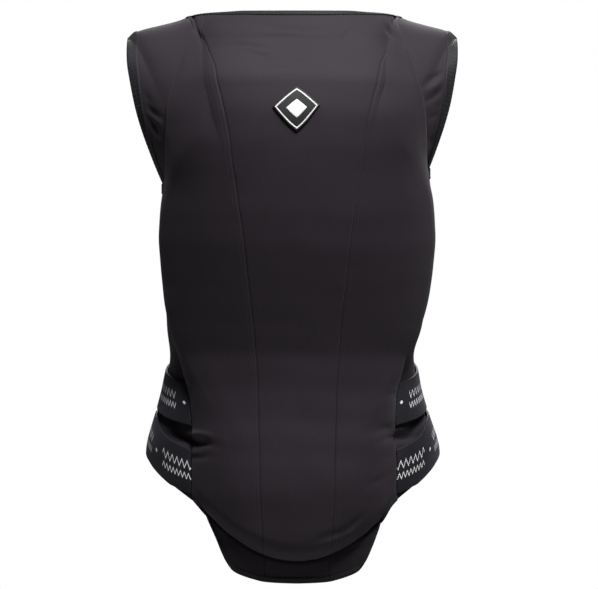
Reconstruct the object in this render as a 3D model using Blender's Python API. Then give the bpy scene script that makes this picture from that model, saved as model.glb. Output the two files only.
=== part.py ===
"""Rider's back protector, in the form it keeps on the wearer.

A padded back in three long panels runs from the neck edge down over the tail. Thin
shoulder, side and front panels close it round the chest, a plain zip closes the front,
and two wide elastic waist straps on each side run from the back round to the front.

Every piece is a wall laid on one body form. A point of the form has two numbers:
turn: quarter turns round the body, 0 at the centre of the back, 1 at the side and 2 at
      the centre of the front, negative on the left;
rise: 0 at the lower edge, 1 at the armpit, 2 at the neck edge or the shoulder seam.
A third number, lift, is the distance out from the form along its normal.
Heights are shares of the vest's length, counted down from the neck edge.
"""

import math
from collections import namedtuple

import bpy
import numpy as np

# Whole vest, in metres
VEST_LENGTH = 0.605
CHEST_WIDTH = 0.295
SHOULDER_WIDTH = 0.352
SHOULDER_SHIFT = 0.005
SHOULDER_SLOPE = 0.0215
BACK_DEPTH = 0.112
FRONT_DEPTH = 0.104
ARMPIT_DROP = 0.1735
ARMPIT_TILT = 0.0085
BODY_ROUNDNESS = 2.3

# Neck opening
NECK_BACK = 0.058
NECK_FRONT = 0.074
NECK_DROP = 0.088
NECK_SHARE = 0.62
NECK_FRONT_CURVE = 1.7

# Armholes
ARMHOLE_BACK_TURN = 0.50
ARMHOLE_FRONT_TURN = 0.50
ARMHOLE_FLAT = 0.06
ARMHOLE_ROUNDING = 0.55

SIDE_SEAM_SWEEP = 0.16
NECK_CORNER_BLEND = 0.30

# Walls
CLOTH = 0.0020
SEAM_GAP = 0.0005
SHOULDER_TRIM = 0.0008
BAND_GAP = 0.0011
LAYER_GAP = 0.0009

# Pad in the back
PAD_THICKNESS = 0.0170
PAD_EDGE = 0.0030
PAD_TOP_START = 0.028
PAD_TOP_SLOPE = 0.055
PAD_FOOT_MARGIN = 0.0235
PAD_FOOT_RISE = 0.050
PAD_FOOT_WIDTH = 0.094
PAD_FOOT_SLOPE = 0.017
PAD_LIP = 0.0013

# Zip, waist straps and their fastening tabs
ZIP_WIDTH = 0.026
ZIP_THICKNESS = 0.0032
STRAP_WIDTH = 0.044
STRAP_THICKNESS = 0.0020
STRAP_LIFT = 0.0016
STRAP_START = 0.0015
STRAP_END = 0.034
TAB_LENGTH = 0.116
TAB_THICKNESS = 0.0020
TAB_MARGIN = 0.003

# Edge bindings
BINDING_THICKNESS = 0.0011
ARMHOLE_BAND = 0.0095
NECK_BAND = 0.0045
TAIL_BAND = 0.0050

# Badge on the back
BADGE_DIAGONAL = 0.0445
BADGE_DROP = 0.1095
BADGE_THICKNESS = 0.0018
BADGE_RELIEF = 0.0006
BADGE_RIM_SHARE = 0.90
BADGE_RIM_WIDTH = 0.09
BADGE_MOTIF_SHARE = 0.34
BADGE_STEP = 0.04

# Body sections: height; half widths left and right as shares of half the chest width;
# depths behind and in front as shares of the back and front depth.
Section = namedtuple("Section", "height left right back front")
SECTIONS = (
    Section(0.000, 0.970, 0.956, 0.80, 0.80),
    Section(0.100, 0.970, 0.956, 0.93, 0.84),
    Section(0.200, 0.970, 0.956, 1.00, 0.90),
    Section(0.285, 0.970, 0.956, 1.00, 0.96),
    Section(0.331, 0.970, 0.976, 1.00, 0.99),
    Section(0.401, 0.968, 0.970, 0.98, 1.00),
    Section(0.480, 0.950, 0.946, 0.91, 0.95),
    Section(0.550, 0.940, 0.905, 0.84, 0.87),
    Section(0.606, 0.916, 0.845, 0.80, 0.82),
    Section(0.655, 0.942, 0.866, 0.81, 0.82),
    Section(0.716, 1.010, 0.941, 0.85, 0.84),
    Section(0.772, 1.065, 1.006, 0.91, 0.87),
    Section(0.850, 1.080, 1.022, 0.97, 0.90),
    Section(0.930, 1.080, 1.045, 0.97, 0.92),
    Section(1.000, 1.080, 1.045, 0.92, 0.92),
)

# Lower edge: turn, and height.
HemPoint = namedtuple("HemPoint", "turn height")
HEM = (
    HemPoint(0.000, 1.000),
    HemPoint(0.060, 0.999),
    HemPoint(0.111, 0.997),
    HemPoint(0.150, 0.993),
    HemPoint(0.189, 0.988),
    HemPoint(0.239, 0.979),
    HemPoint(0.275, 0.962),
    HemPoint(0.300, 0.944),
    HemPoint(0.330, 0.918),
    HemPoint(0.379, 0.883),
    HemPoint(0.415, 0.866),
    HemPoint(0.483, 0.850),
    HemPoint(0.541, 0.839),
    HemPoint(0.641, 0.822),
    HemPoint(0.753, 0.804),
    HemPoint(0.870, 0.787),
    HemPoint(1.000, 0.776),
    HemPoint(1.300, 0.763),
    HemPoint(1.600, 0.755),
    HemPoint(2.000, 0.753),
)

# Shoulder and neck edge: share of the way out to the shoulder tip, and share of the slope.
TopPoint = namedtuple("TopPoint", "across drop")
TOP_EDGE = (
    TopPoint(0.00, 0.00),
    TopPoint(0.30, 0.00),
    TopPoint(0.43, 0.06),
    TopPoint(0.52, 0.10),
    TopPoint(0.60, 0.17),
    TopPoint(0.65, 0.27),
    TopPoint(0.70, 0.42),
    TopPoint(0.80, 0.64),
    TopPoint(0.90, 0.84),
    TopPoint(0.955, 1.00),
    TopPoint(1.00, 1.35),
)

# Armhole edge: share of its height; share of the way out from the chest's half width to
# the shoulder's; and the front edge's half width as a share of the back edge's.
ArmholePoint = namedtuple("ArmholePoint", "up out front")
ARMHOLE = (
    ArmholePoint(0.000, 0.00, 1.000),
    ArmholePoint(0.100, 0.17, 0.975),
    ArmholePoint(0.200, 0.33, 0.950),
    ArmholePoint(0.350, 0.55, 0.925),
    ArmholePoint(0.500, 0.73, 0.915),
    ArmholePoint(0.700, 0.90, 0.930),
    ArmholePoint(0.850, 0.99, 0.960),
    ArmholePoint(0.930, 1.00, 0.985),
    ArmholePoint(1.000, 0.99, 1.000),
)

# Long seams of the back: height; centre seam as a share of half the chest width; outer
# seam and the ridge of the pad as shares of the body's half width there.
SeamPoint = namedtuple("SeamPoint", "height centre outer ridge")
SEAMS = (
    SeamPoint(0.000, 0.665, 0.790, 0.60),
    SeamPoint(0.030, 0.680, 0.775, 0.60),
    SeamPoint(0.065, 0.630, 0.820, 0.61),
    SeamPoint(0.107, 0.555, 0.880, 0.62),
    SeamPoint(0.138, 0.530, 0.925, 0.635),
    SeamPoint(0.163, 0.505, 0.950, 0.655),
    SeamPoint(0.193, 0.478, 0.962, 0.690),
    SeamPoint(0.226, 0.452, 0.964, 0.745),
    SeamPoint(0.261, 0.436, 0.964, 0.815),
    SeamPoint(0.303, 0.408, 0.966, 0.870),
    SeamPoint(0.340, 0.388, 0.974, 0.900),
    SeamPoint(0.401, 0.355, 0.982, 0.920),
    SeamPoint(0.480, 0.322, 0.978, 0.910),
    SeamPoint(0.541, 0.297, 0.958, 0.880),
    SeamPoint(0.585, 0.282, 0.930, 0.845),
    SeamPoint(0.629, 0.270, 0.875, 0.770),
    SeamPoint(0.655, 0.266, 0.830, 0.700),
    SeamPoint(0.681, 0.264, 0.785, 0.640),
    SeamPoint(0.716, 0.262, 0.740, 0.560),
    SeamPoint(0.772, 0.258, 0.700, 0.490),
    SeamPoint(0.851, 0.250, 0.690, 0.410),
    SeamPoint(0.920, 0.236, 0.690, 0.330),
    SeamPoint(1.000, 0.226, 0.690, 0.250),
)

# Waist straps: share of the way along, and the heights of the two centre lines.
StrapPoint = namedtuple("StrapPoint", "along upper lower")
STRAPS = (
    StrapPoint(0.00, 0.690, 0.806),
    StrapPoint(0.14, 0.678, 0.784),
    StrapPoint(0.32, 0.661, 0.747),
    StrapPoint(0.60, 0.636, 0.724),
    StrapPoint(1.00, 0.620, 0.711),
)

# Main folds: side; turn and height of the middle; length, width and depth in metres
# (a negative depth is a crease); and the slope in degrees, down towards the back.
Fold = namedtuple("Fold", "side turn height length width depth slope")
FOLDS = (
    Fold(-1, 0.64, 0.716, 0.060, 0.0090, -0.0036, 22),
    Fold(-1, 0.56, 0.756, 0.050, 0.0090, -0.0032, 18),
    Fold(1, 0.66, 0.722, 0.056, 0.0090, -0.0036, 30),
    Fold(1, 0.60, 0.756, 0.048, 0.0090, -0.0034, 24),
    Fold(1, 0.44, 0.738, 0.044, 0.0090, -0.0022, 4),
    Fold(-1, 0.66, 0.190, 0.040, 0.0120, -0.0024, -36),
    Fold(1, 0.66, 0.150, 0.040, 0.0120, -0.0024, 36),
)
QUARTER_GIRTH = 0.19
WAIST_RISE = 0.27
FRONT_ROWS = [0, 3, 6, 9, *range(12, 23)]

Colour = namedtuple("Colour", "name rgb roughness")
SHELL_CLOTH = Colour("black_stretch_cloth", (0.018, 0.016, 0.019), 0.62)
CENTRE_CLOTH = Colour("centre_stretch_cloth", (0.020, 0.018, 0.021), 0.60)
MESH_CLOTH = Colour("side_cloth", (0.013, 0.013, 0.014), 0.75)
ELASTIC = Colour("woven_elastic", (0.012, 0.012, 0.018), 0.70)
BINDING_TAPE = Colour("binding_tape", (0.012, 0.012, 0.013), 0.58)
ZIP_TAPE = Colour("zip_tape", (0.014, 0.014, 0.015), 0.50)
HOOK_TAPE = Colour("hook_and_loop_tape", (0.011, 0.011, 0.012), 0.85)
BADGE_RUBBER = Colour("badge_rubber", (0.010, 0.010, 0.011), 0.45)


def curve(table, across, along, at):
    """Smooth curve through a table's points that never overshoots them."""
    x = np.array([getattr(row, along) for row in table])
    y = np.array([getattr(row, across) for row in table])
    span = np.diff(x)
    slope = np.diff(y) / span
    middle = np.zeros(len(x))
    same_way = slope[:-1] * slope[1:] > 0
    mean = 2 * slope[:-1] * slope[1:] / np.where(same_way, slope[:-1] + slope[1:], 1.0)
    middle[1:-1] = np.where(same_way, mean, 0.0)
    middle[0], middle[-1] = slope[0], slope[-1]
    at = np.clip(at, x[0], x[-1])
    i = np.clip(np.searchsorted(x, at, side="right") - 1, 0, len(span) - 1)
    s = (at - x[i]) / span[i]
    rise = middle[i] * (s - 2 * s**2 + s**3) + middle[i + 1] * (s**3 - s**2)
    return y[i] + (y[i + 1] - y[i]) * (3 * s**2 - 2 * s**3) + rise * span[i]


def ease(s):
    """0 below 0 and 1 above 1, with a slope of zero at both ends."""
    s = np.clip(s, 0, 1)
    return s * s * (3 - 2 * s)


def ramp(s):
    """0 below 0, a straight slope, and a rounded top that reaches 1."""
    s = np.clip(s, 0, 1.25) / 1.25
    return 1 - (1 - s) ** 1.8


def section(field, height):
    return curve(SECTIONS, field, "height", height)


def parts_of(turn):
    """The side, -1 or 1; whether the point is behind; and its share of a quarter turn."""
    turn = np.mod(np.asarray(turn, float) + 2, 4) - 2
    side = np.where(turn < 0, -1.0, 1.0)
    whole = np.abs(turn)
    behind = whole <= 1
    return side, behind, np.where(behind, whole, 2 - whole)


def across(quarter):
    """Share of the half width at a share of a quarter turn round a rounded oval."""
    return np.sin(np.clip(quarter, 0, 1) * math.pi / 2) ** (2 / BODY_ROUNDNESS)


def outward(quarter):
    """Share of the depth at a share of a quarter turn round a rounded oval."""
    return np.cos(np.clip(quarter, 0, 1) * math.pi / 2) ** (2 / BODY_ROUNDNESS)


def quarter_at(share):
    """The inverse of across."""
    share = np.clip(share, 0, 1)
    return np.arcsin(share ** (BODY_ROUNDNESS / 2)) * 2 / math.pi


def armhole_quarter(up, behind):
    """Where the armhole's edge is, as a share of a quarter turn."""
    reach = np.where(behind, ARMHOLE_BACK_TURN, ARMHOLE_FRONT_TURN)
    return 1 - ARMHOLE_FLAT - (reach - ARMHOLE_FLAT) * np.clip(up, 0, 1) ** ARMHOLE_ROUNDING


def armpit_height(side, quarter):
    return (ARMPIT_DROP - side * across(quarter) * ARMPIT_TILT) / VEST_LENGTH


def top_edge(behind, share):
    """Height and forward place of the neck edge and shoulder seam, and the arc's angle."""
    share = np.clip(share, 0, 1)
    inward = np.minimum(share / NECK_SHARE, 1)
    bow = np.where(behind, (1 - inward**2) ** 0.55, 1 - inward**NECK_FRONT_CURVE)
    drop = curve(TOP_EDGE, "drop", "across", np.where(behind, share, np.maximum(share, NECK_SHARE)))
    height = (drop * SHOULDER_SLOPE + np.where(behind, 0, bow * NECK_DROP)) / VEST_LENGTH
    forward = bow * np.where(behind, -NECK_BACK, NECK_FRONT)
    steep = ease(share / NECK_SHARE)
    angle = np.radians(np.where(behind, 56, 42) + steep * np.where(behind, 32, 46))
    return height, forward, angle


def edge_half_width(side, behind, up):
    """Half width at the armhole's edge."""
    pit = armpit_height(side, 1.0)
    chest = np.where(side < 0, section("left", pit), section("right", pit)) * CHEST_WIDTH / 2
    shoulder = SHOULDER_WIDTH / 2 - side * SHOULDER_SHIFT
    low = chest * across(1 - ARMHOLE_FLAT)
    out = curve(ARMHOLE, "out", "up", up)
    inset = np.where(behind, 1.0, curve(ARMHOLE, "front", "up", up))
    return (low + (shoulder - low) * out) * inset


def half_width(turn, rise):
    """Half width of the oval that the point lies on."""
    side, behind, _ = parts_of(turn)
    low = height_of(turn, np.minimum(rise, 1))
    body = np.where(side < 0, section("left", low), section("right", low)) * CHEST_WIDTH / 2
    t = np.clip(rise - 1, 0, 1)
    tip = np.radians(88.0)
    up = np.sin(t * tip) / np.sin(tip)
    upper = edge_half_width(side, behind, up) / across(armhole_quarter(t, behind))
    return np.where(rise <= 1, body, upper)


def height_of(turn, rise):
    """Height share of a point of the form."""
    side, behind, quarter = parts_of(turn)
    pit = armpit_height(side, quarter)
    hem = curve(HEM, "height", "turn", np.where(behind, quarter, 2 - quarter))
    low = hem + (pit - hem) * np.clip(rise, 0, 1)
    t = np.clip(rise - 1, 0, 1)
    share = across(quarter) / across(armhole_quarter(1.0, behind))
    top, _, angle = top_edge(behind, share)
    high = pit + (top - pit) * np.sin(t * angle) / np.sin(angle)
    return np.where(rise <= 1, low, high)


def form(turn, rise):
    """Points of the body form, an array with x, y and z last."""
    turn, rise = np.broadcast_arrays(np.asarray(turn, float), np.asarray(rise, float))
    side, behind, quarter = parts_of(turn)
    height = height_of(turn, rise)
    x = side * half_width(turn, rise) * across(quarter)
    depth = np.where(
        behind, -BACK_DEPTH * section("back", height), FRONT_DEPTH * section("front", height)
    )
    t = np.clip(rise - 1, 0, 1)
    share = across(quarter) / across(armhole_quarter(1.0, behind))
    _, forward, angle = top_edge(behind, share)
    over = (1 - np.cos(t * angle)) / (1 - np.cos(angle))
    y = depth * outward(quarter) * (1 - over) + forward * over
    return np.stack([x, y, SHOULDER_SLOPE - height * VEST_LENGTH], axis=-1)


def directions(turn, rise):
    """Change of place for each unit of turn and of rise, and the outward normal."""
    step = 0.004
    high, low = np.minimum(rise + step, 2), np.maximum(rise - step, 0)
    by_turn = (form(turn + step, rise) - form(turn - step, rise)) / (2 * step)
    by_rise = (form(turn, high) - form(turn, low)) / (high - low)[..., None]
    normal = np.cross(by_turn, by_rise)
    normal /= np.linalg.norm(normal, axis=-1, keepdims=True)
    return by_turn, by_rise, normal


def surface(turn, rise, lift):
    """Points that stand lift metres out from the form."""
    turn, rise = np.broadcast_arrays(np.asarray(turn, float), np.asarray(rise, float))
    normal = directions(turn, rise)[2]
    return form(turn, rise) + normal * np.broadcast_to(lift, turn.shape)[..., None]


def moved_round(turn, rise, distance):
    """The turn that lies a distance further round."""
    return turn + distance / np.linalg.norm(directions(turn, rise)[0], axis=-1)


def moved_up(turn, rise, distance):
    """The rise that lies a distance further up."""
    return rise + distance / np.linalg.norm(directions(turn, rise)[1], axis=-1)


def local_half_width(side, height):
    """The body's half width at a height, held at the armpit's above it."""
    low = np.maximum(height, armpit_height(side, 1.0))
    return section("left" if side < 0 else "right", low) * CHEST_WIDTH / 2


def turn_at(side, rise, half_distance):
    """The turn behind where the form is half_distance(height) from the middle."""
    turn = side * np.full_like(rise, 0.5)
    for _ in range(14):
        x = half_distance(height_of(turn, rise))
        turn = side * quarter_at(x / half_width(turn, rise))
    return turn


def centre_seam(side, rise):
    """Turn of the seam beside the back's centre panel."""
    return turn_at(side, rise, lambda h: curve(SEAMS, "centre", "height", h) * CHEST_WIDTH / 2)


def outer_seam(side, rise):
    """Turn of the back's outer seam, which ends at the corner of the neck band."""
    seam = turn_at(
        side, rise, lambda h: curve(SEAMS, "outer", "height", h) * local_half_width(side, h)
    )
    corner = side * neck_corner(side, True)
    return seam + (corner - seam) * ease((rise - 2 + NECK_CORNER_BLEND) / NECK_CORNER_BLEND)


def neck_corner(side, behind):
    """Share of a quarter turn where the neck band's outer line meets the shoulder seam."""
    quarter = quarter_at(NECK_SHARE * across(armhole_quarter(1.0, behind)))
    along = quarter + np.array([0.01, 0.03])
    ends = form(side * (along if behind else 2 - along), 2.0)
    rate = np.linalg.norm(ends[1] - ends[0]) / 0.02
    return float(quarter + (NECK_BAND + BAND_GAP) / rate)


def armhole_lines(side):
    """The armhole's edge and the inner line of its band, over the back and under the arm.

    Both are rows of turn and rise from the shoulder seam behind to the one in front.
    """
    up = np.linspace(1, 0, 90) ** 1.8
    flat = np.linspace(-ARMHOLE_FLAT, ARMHOLE_FLAT, 13)[1:-1]
    back, front = armhole_quarter(up, True), 2 - armhole_quarter(up[::-1], False)
    turn = side * np.concatenate([back, 1 + flat, front])
    rise = 1 + np.concatenate([up, 0 * flat, up[::-1]])
    away = np.stack([side * np.sign(1 - np.abs(turn)), np.ones(len(turn))], axis=1)
    step = into_cloth(turn, rise, away)
    step[:, 1] *= 1 - ease((rise - 1.8) / 0.2)
    edge = np.stack([turn, rise], axis=1)
    return edge, edge + step * ARMHOLE_BAND


def armhole_corners(side):
    """Shares of a half turn where the band's inner line crosses the armpit's rise."""
    _, inner = armhole_lines(side)
    middle = np.argmin(inner[:, 1])
    behind, front = inner[:middle + 1][::-1], inner[middle:]
    turns = [np.interp(1.0, half[:, 1], np.abs(half[:, 0])) for half in (behind, front)]
    return turns[0], turns[1]


def armhole_turn(side, rise, behind):
    """Turn of the band's inner line at a rise above the armpit."""
    _, inner = armhole_lines(side)
    middle = np.argmin(inner[:, 1])
    half = inner[:middle + 1][::-1] if behind else inner[middle:]
    return np.interp(rise, half[:, 1], half[:, 0])


def armhole_rise(side, turn):
    """Rise of the band's inner line under the arm, and the armpit's rise beside it."""
    _, inner = armhole_lines(side)
    first, last = armhole_corners(side)
    keep = (np.abs(inner[:, 0]) > first) & (np.abs(inner[:, 0]) < last) & (inner[:, 1] < 1)
    return np.interp(np.abs(turn), np.abs(inner[keep, 0]), inner[keep, 1], 1.0, 1.0)


def front_seam(side, rise):
    """Turn of the seam between the side panel and the front panel."""
    last = armhole_corners(side)[1]
    return side * (last + SIDE_SEAM_SWEEP * (1 - np.clip(rise, 0, 1) ** 4))


def zip_turn(side, rise, half):
    """Turn at a distance from the centre of the front."""
    return side * (2 - quarter_at(half / half_width(side * np.full_like(rise, 1.9), rise)))


def pad_lift(turn, rise):
    """How far the padded back stands out from the form."""
    turn, rise = np.broadcast_arrays(np.asarray(turn, float), np.asarray(rise, float))
    side = parts_of(turn)[0]
    height = height_of(turn, rise)
    x = np.abs(form(turn, rise)[..., 0])
    body = np.where(side < 0, local_half_width(-1, height), local_half_width(1, height))
    outer = curve(SEAMS, "outer", "height", height) * body
    ridge = curve(SEAMS, "ridge", "height", height) * body
    down = height * VEST_LENGTH
    foot = pad_foot(x)
    sides = ramp((outer - x) / (outer - ridge))
    top = ease((down - PAD_TOP_START) / PAD_TOP_SLOPE)
    bottom = ramp((foot - down) / PAD_FOOT_SLOPE)
    edge = PAD_EDGE * ease(down / PAD_TOP_START) * np.clip((foot - down) / PAD_LIP, 0, 1)
    return edge + (PAD_THICKNESS - PAD_EDGE) * sides * top * bottom


def fold_lift(turn, rise):
    """Folds and creases: each a ridge across its width that dies out along its length."""
    turn, rise = np.broadcast_arrays(np.asarray(turn, float), np.asarray(rise, float))
    side, behind, quarter = parts_of(turn)
    girth = np.where(behind, quarter, 2 - quarter) * QUARTER_GIRTH
    down = height_of(turn, rise) * VEST_LENGTH
    total = np.zeros(turn.shape)
    for fold in FOLDS:
        u = girth - fold.turn * QUARTER_GIRTH
        v = down - fold.height * VEST_LENGTH
        c, s = math.cos(math.radians(fold.slope)), math.sin(math.radians(fold.slope))
        along, across_it = u * c - v * s, u * s + v * c
        bump = np.exp(-((2 * along / fold.length) ** 2) - (across_it / fold.width) ** 2)
        total += np.where(side == fold.side, fold.depth * bump, 0.0)
    return total


def back_lift(turn, rise):
    return pad_lift(turn, rise) + fold_lift(turn, rise)


def material(colour):
    """The part's material, made once and shared by its pieces."""
    found = bpy.data.materials.get(colour.name)
    if found:
        return found
    made = bpy.data.materials.new(colour.name)
    made.use_nodes = True
    shader = made.node_tree.nodes["Principled BSDF"]
    shader.inputs["Base Color"].default_value = (*colour.rgb, 1.0)
    shader.inputs["Roughness"].default_value = colour.roughness
    shader.inputs["Metallic"].default_value = 0.0
    made.diffuse_color = (*colour.rgb, 1.0)
    return made


def add_object(name, points, faces, colour):
    mesh = bpy.data.meshes.new(name)
    mesh.from_pydata([tuple(p) for p in points], [], faces)
    mesh.materials.append(material(colour))
    mesh.shade_smooth()
    mesh.set_sharp_from_angle(angle=math.radians(40))
    made = bpy.data.objects.new(name, mesh)
    bpy.context.scene.collection.objects.link(made)
    return made


def grid_faces(rows, columns, start=0):
    """Quads of a grid of points, row by row."""
    first = np.arange(rows * columns).reshape(rows, columns)[:-1, :-1].ravel() + start
    return np.stack([first, first + 1, first + 1 + columns, first + columns], axis=1)


def add_wall(name, turn, rise, outer, inner, colour):
    """A closed wall between two lifts over a grid of turns and rises."""
    rows, columns = turn.shape
    count = rows * columns
    points = np.concatenate(
        [surface(turn, rise, outer).reshape(-1, 3), surface(turn, rise, inner).reshape(-1, 3)]
    )
    index = np.arange(count).reshape(rows, columns)
    faces = np.concatenate([grid_faces(rows, columns), grid_faces(rows, columns, count)[:, ::-1]])
    faces = faces.tolist()
    rims = ((index[0], 1), (index[-1], -1), (index[:, -1], 1), (index[:, 0], -1))
    for line, turned in rims:
        low, high = line[:-1], line[1:]
        faces += np.stack([high, low, high + count], axis=1)[:, ::turned].tolist()
        faces += np.stack([low, low + count, high + count], axis=1)[:, ::turned].tolist()
    return add_object(name, points, faces, colour)


def spread_turns(low, high, shares):
    """Turns between two edges, a row for each rise and a column for each share."""
    return low[:, None] + (high - low)[:, None] * np.asarray(shares)[None, :]


def lower_rises():
    """Rises below the armpit, closer where the waist folds and the pad's foot are."""
    return np.concatenate([np.linspace(0, WAIST_RISE, 13), np.linspace(WAIST_RISE, 1, 11)[1:]])


def upper_rises():
    """Rises from the armpit to the neck edge, closer near the armpit."""
    return 1 + np.linspace(0, 1, 11) ** 1.2


def fitted(turn, rise, bottom, top):
    """The rows' rises, squeezed to start at bottom and end at top in each column."""
    share = (rise - rise[0]) / (rise[-1] - rise[0])
    return bottom + (top - bottom) * np.broadcast_to(share[:, None], turn.shape)


def neck_top(turn):
    """Rise of the panels' upper edge under the neck band."""
    return moved_up(turn, np.full(len(turn), 2.0), -NECK_BAND - BAND_GAP)


def pad_foot(x):
    """How far down from the neck edge the pad's lower edge is."""
    return VEST_LENGTH - PAD_FOOT_MARGIN - PAD_FOOT_RISE * (x / PAD_FOOT_WIDTH) ** 2


def back_rises(turn):
    """Rises of the padded panels' rows: tail cloth, lip and bevel of the pad, the rest."""
    turn = turn[0]
    bottom = moved_up(turn, np.zeros(len(turn)), TAIL_BAND + BAND_GAP)
    side, _, quarter = parts_of(turn)
    hem, pit = curve(HEM, "height", "turn", quarter), armpit_height(side, quarter)
    foot = pad_foot(form(turn, bottom)[:, 0]) / VEST_LENGTH
    lip = np.maximum((hem - foot) / (hem - pit), bottom + 0.015)
    slope = PAD_FOOT_SLOPE / VEST_LENGTH / (hem - pit)
    waist = np.full(len(turn), WAIST_RISE)
    tail = bottom + (lip - bottom) * np.linspace(0, 1, 4)[:, None]
    bevel = lip + slope * np.array([0.08, 0.35, 0.65, 1.0])[:, None]
    hips = bevel[-1] + (waist - bevel[-1]) * np.linspace(0, 1, 6)[1:, None]
    body = np.concatenate([np.linspace(WAIST_RISE, 1, 11)[1:], upper_rises()[1:]])
    return np.concatenate([tail, bevel, hips, body[:, None] + 0 * turn])


def back_grid(inner_seam, outer_seam, shares):
    """Turns and rises of a padded panel between two seams, without its top row's fit."""
    start = np.array([0.0])
    turn = spread_turns(inner_seam(start), outer_seam(start), shares)
    for _ in range(2):
        rise = back_rises(turn)
        turn = spread_turns(inner_seam(rise[:, 0]), outer_seam(rise[:, -1]), shares)
    rise[-1] = neck_top(turn[-1])
    return turn, rise


def back_grids():
    """Turns and rises of the three padded panels, from left to right."""
    half = SEAM_GAP / 2
    grids = []
    for side in (-1, 1):
        turn, rise = back_grid(
            lambda rise: moved_round(centre_seam(side, rise), rise, side * half),
            lambda rise: moved_round(outer_seam(side, rise), rise, -side * half),
            np.linspace(0, 1, 8),
        )
        rise[-1, -1] = moved_up(turn[-1, -1:], np.array([2.0]), -SHOULDER_TRIM)[0]
        grids.append((turn[:, ::side], rise[:, ::side]))
    middle = back_grid(
        lambda rise: moved_round(centre_seam(-1, rise), rise, half),
        lambda rise: moved_round(centre_seam(1, rise), rise, -half),
        0.5 + 0.5 * np.sin(np.linspace(-1, 1, 11) * math.pi / 2),
    )
    grids.insert(1, middle)
    return grids


def shoulder_grid(side):
    rise = upper_rises()
    half = SEAM_GAP / 2
    inner = moved_round(outer_seam(side, rise), rise, side * half)
    turn = spread_turns(inner, armhole_turn(side, rise, True), np.linspace(0, 1, 6))
    bottom = moved_up(turn[0], np.ones(turn.shape[1]), half)
    top = moved_up(turn[-1], np.full(turn.shape[1], 2.0), -SHOULDER_TRIM)
    return turn, fitted(turn, rise, bottom, top)


def side_grid(side):
    rise = lower_rises()
    half = SEAM_GAP / 2
    first, last = armhole_corners(side)
    inner = moved_round(outer_seam(side, rise), rise, side * half)
    outer = moved_round(front_seam(side, rise), rise, -side * half)
    split = (first - abs(inner[-1])) / (abs(outer[-1]) - abs(inner[-1]))
    shares = np.concatenate([np.linspace(0, split, 3), np.linspace(split, 1, 6)[1:]])
    turn = spread_turns(inner, outer, shares)
    top = np.minimum(armhole_rise(side, turn[-1]), moved_up(turn[-1], np.ones(8), -half))
    return turn, fitted(turn, rise, np.zeros(8), top)


def front_edges(side, first, last):
    """Turns of a front panel's outer edge and of its edge along the zip."""
    low = first <= 1
    seam = moved_round(front_seam(side, first[low]), first[low], side * SEAM_GAP)
    outer = np.concatenate([seam, armhole_turn(side, first[~low], False)])
    return outer, zip_turn(side, last, (ZIP_WIDTH + SEAM_GAP) / 2)


def front_grid(side):
    nominal = np.concatenate([lower_rises()[FRONT_ROWS], upper_rises()[1:]])
    corner = 2 - neck_corner(side, False)
    towards_zip = np.linspace(0, 1, 8)[1:] ** 1.3
    first = last = nominal
    for _ in range(3):
        outer, inner = front_edges(side, first, last)
        split = (corner - abs(outer[-1])) / (abs(inner[-1]) - abs(outer[-1]))
        shares = np.concatenate([np.linspace(0, split, 5), split + (1 - split) * towards_zip])
        turn = spread_turns(outer, inner, shares)
        top = neck_top(turn[-1])
        top[:5] = moved_up(turn[-1, :5], np.full(5, 2.0), -SHOULDER_TRIM)
        rise = fitted(turn, nominal, np.zeros(len(shares)), top)
        first, last = rise[:, 0], rise[:, -1]
    return turn, rise


def add_back_panels():
    """Three padded panels of the back, from the tail band up to the neck band."""
    names = ("back_panel_left", "back_centre_panel", "back_panel_right")
    for name, (turn, rise) in zip(names, back_grids()):
        colour = CENTRE_CLOTH if "centre" in name else SHELL_CLOTH
        add_wall(name, turn, rise, back_lift(turn, rise), -CLOTH, colour)


def add_thin_panels():
    """Thin panels at the shoulders, under the arms and in front."""
    for side, name in ((-1, "left"), (1, "right")):
        for kind, make in (("shoulder", shoulder_grid), ("side", side_grid), ("front", front_grid)):
            turn, rise = make(side)
            turn, rise = turn[:, ::side], rise[:, ::side]
            lift = fold_lift(turn, rise)
            add_wall(f"{kind}_panel_{name}", turn, rise, lift, lift - CLOTH, MESH_CLOTH)


def add_zip():
    """The front zip, one plain piece with its row of teeth raised along the middle."""
    rise = np.append(front_grid(1)[1][:, -1], 2.0)
    teeth = ZIP_WIDTH / 5
    halves = np.array([ZIP_WIDTH / 2 - SEAM_GAP / 2, teeth, teeth * 0.8])
    right = np.stack([zip_turn(1, rise, h) for h in halves], axis=1)
    left = 4 + np.stack([zip_turn(-1, rise, h) for h in halves[::-1]], axis=1)
    turn = np.concatenate([right, left], axis=1)
    grid = np.broadcast_to(rise[:, None], turn.shape)
    step = np.array([0.0, 0.0, 1.0, 1.0, 0.0, 0.0])
    lift = np.broadcast_to(step * (ZIP_THICKNESS - CLOTH), turn.shape)
    add_wall("front_zip", turn, grid, lift, -CLOTH, ZIP_TAPE)


def strap_grid(side, line):
    """Turns and rises of a waist strap, from the back's outer seam to the front."""
    along = np.linspace(0, 1, 17)[None, :]
    cross = np.linspace(1, -1, 4)[:, None]
    middle = curve(STRAPS, line, "along", along)
    climb = np.gradient(middle[0] * VEST_LENGTH, along[0] * QUARTER_GIRTH * 1.5)
    reach = STRAP_WIDTH / 2 * np.hypot(1, climb) / VEST_LENGTH
    height = middle + cross * reach
    first = curve(SEAMS, "outer", "height", height) * local_half_width(side, height)
    begin = quarter_at(first / local_half_width(side, height))
    finish = 2 - quarter_at(STRAP_END / local_half_width(side, height))
    turn = begin + (finish - begin) * along
    _, behind, quarter = parts_of(turn)
    pit = armpit_height(side, quarter)
    hem = curve(HEM, "height", "turn", np.where(behind, quarter, 2 - quarter))
    return side * turn, np.clip((hem - height) / (hem - pit), 0, 1)


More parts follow.
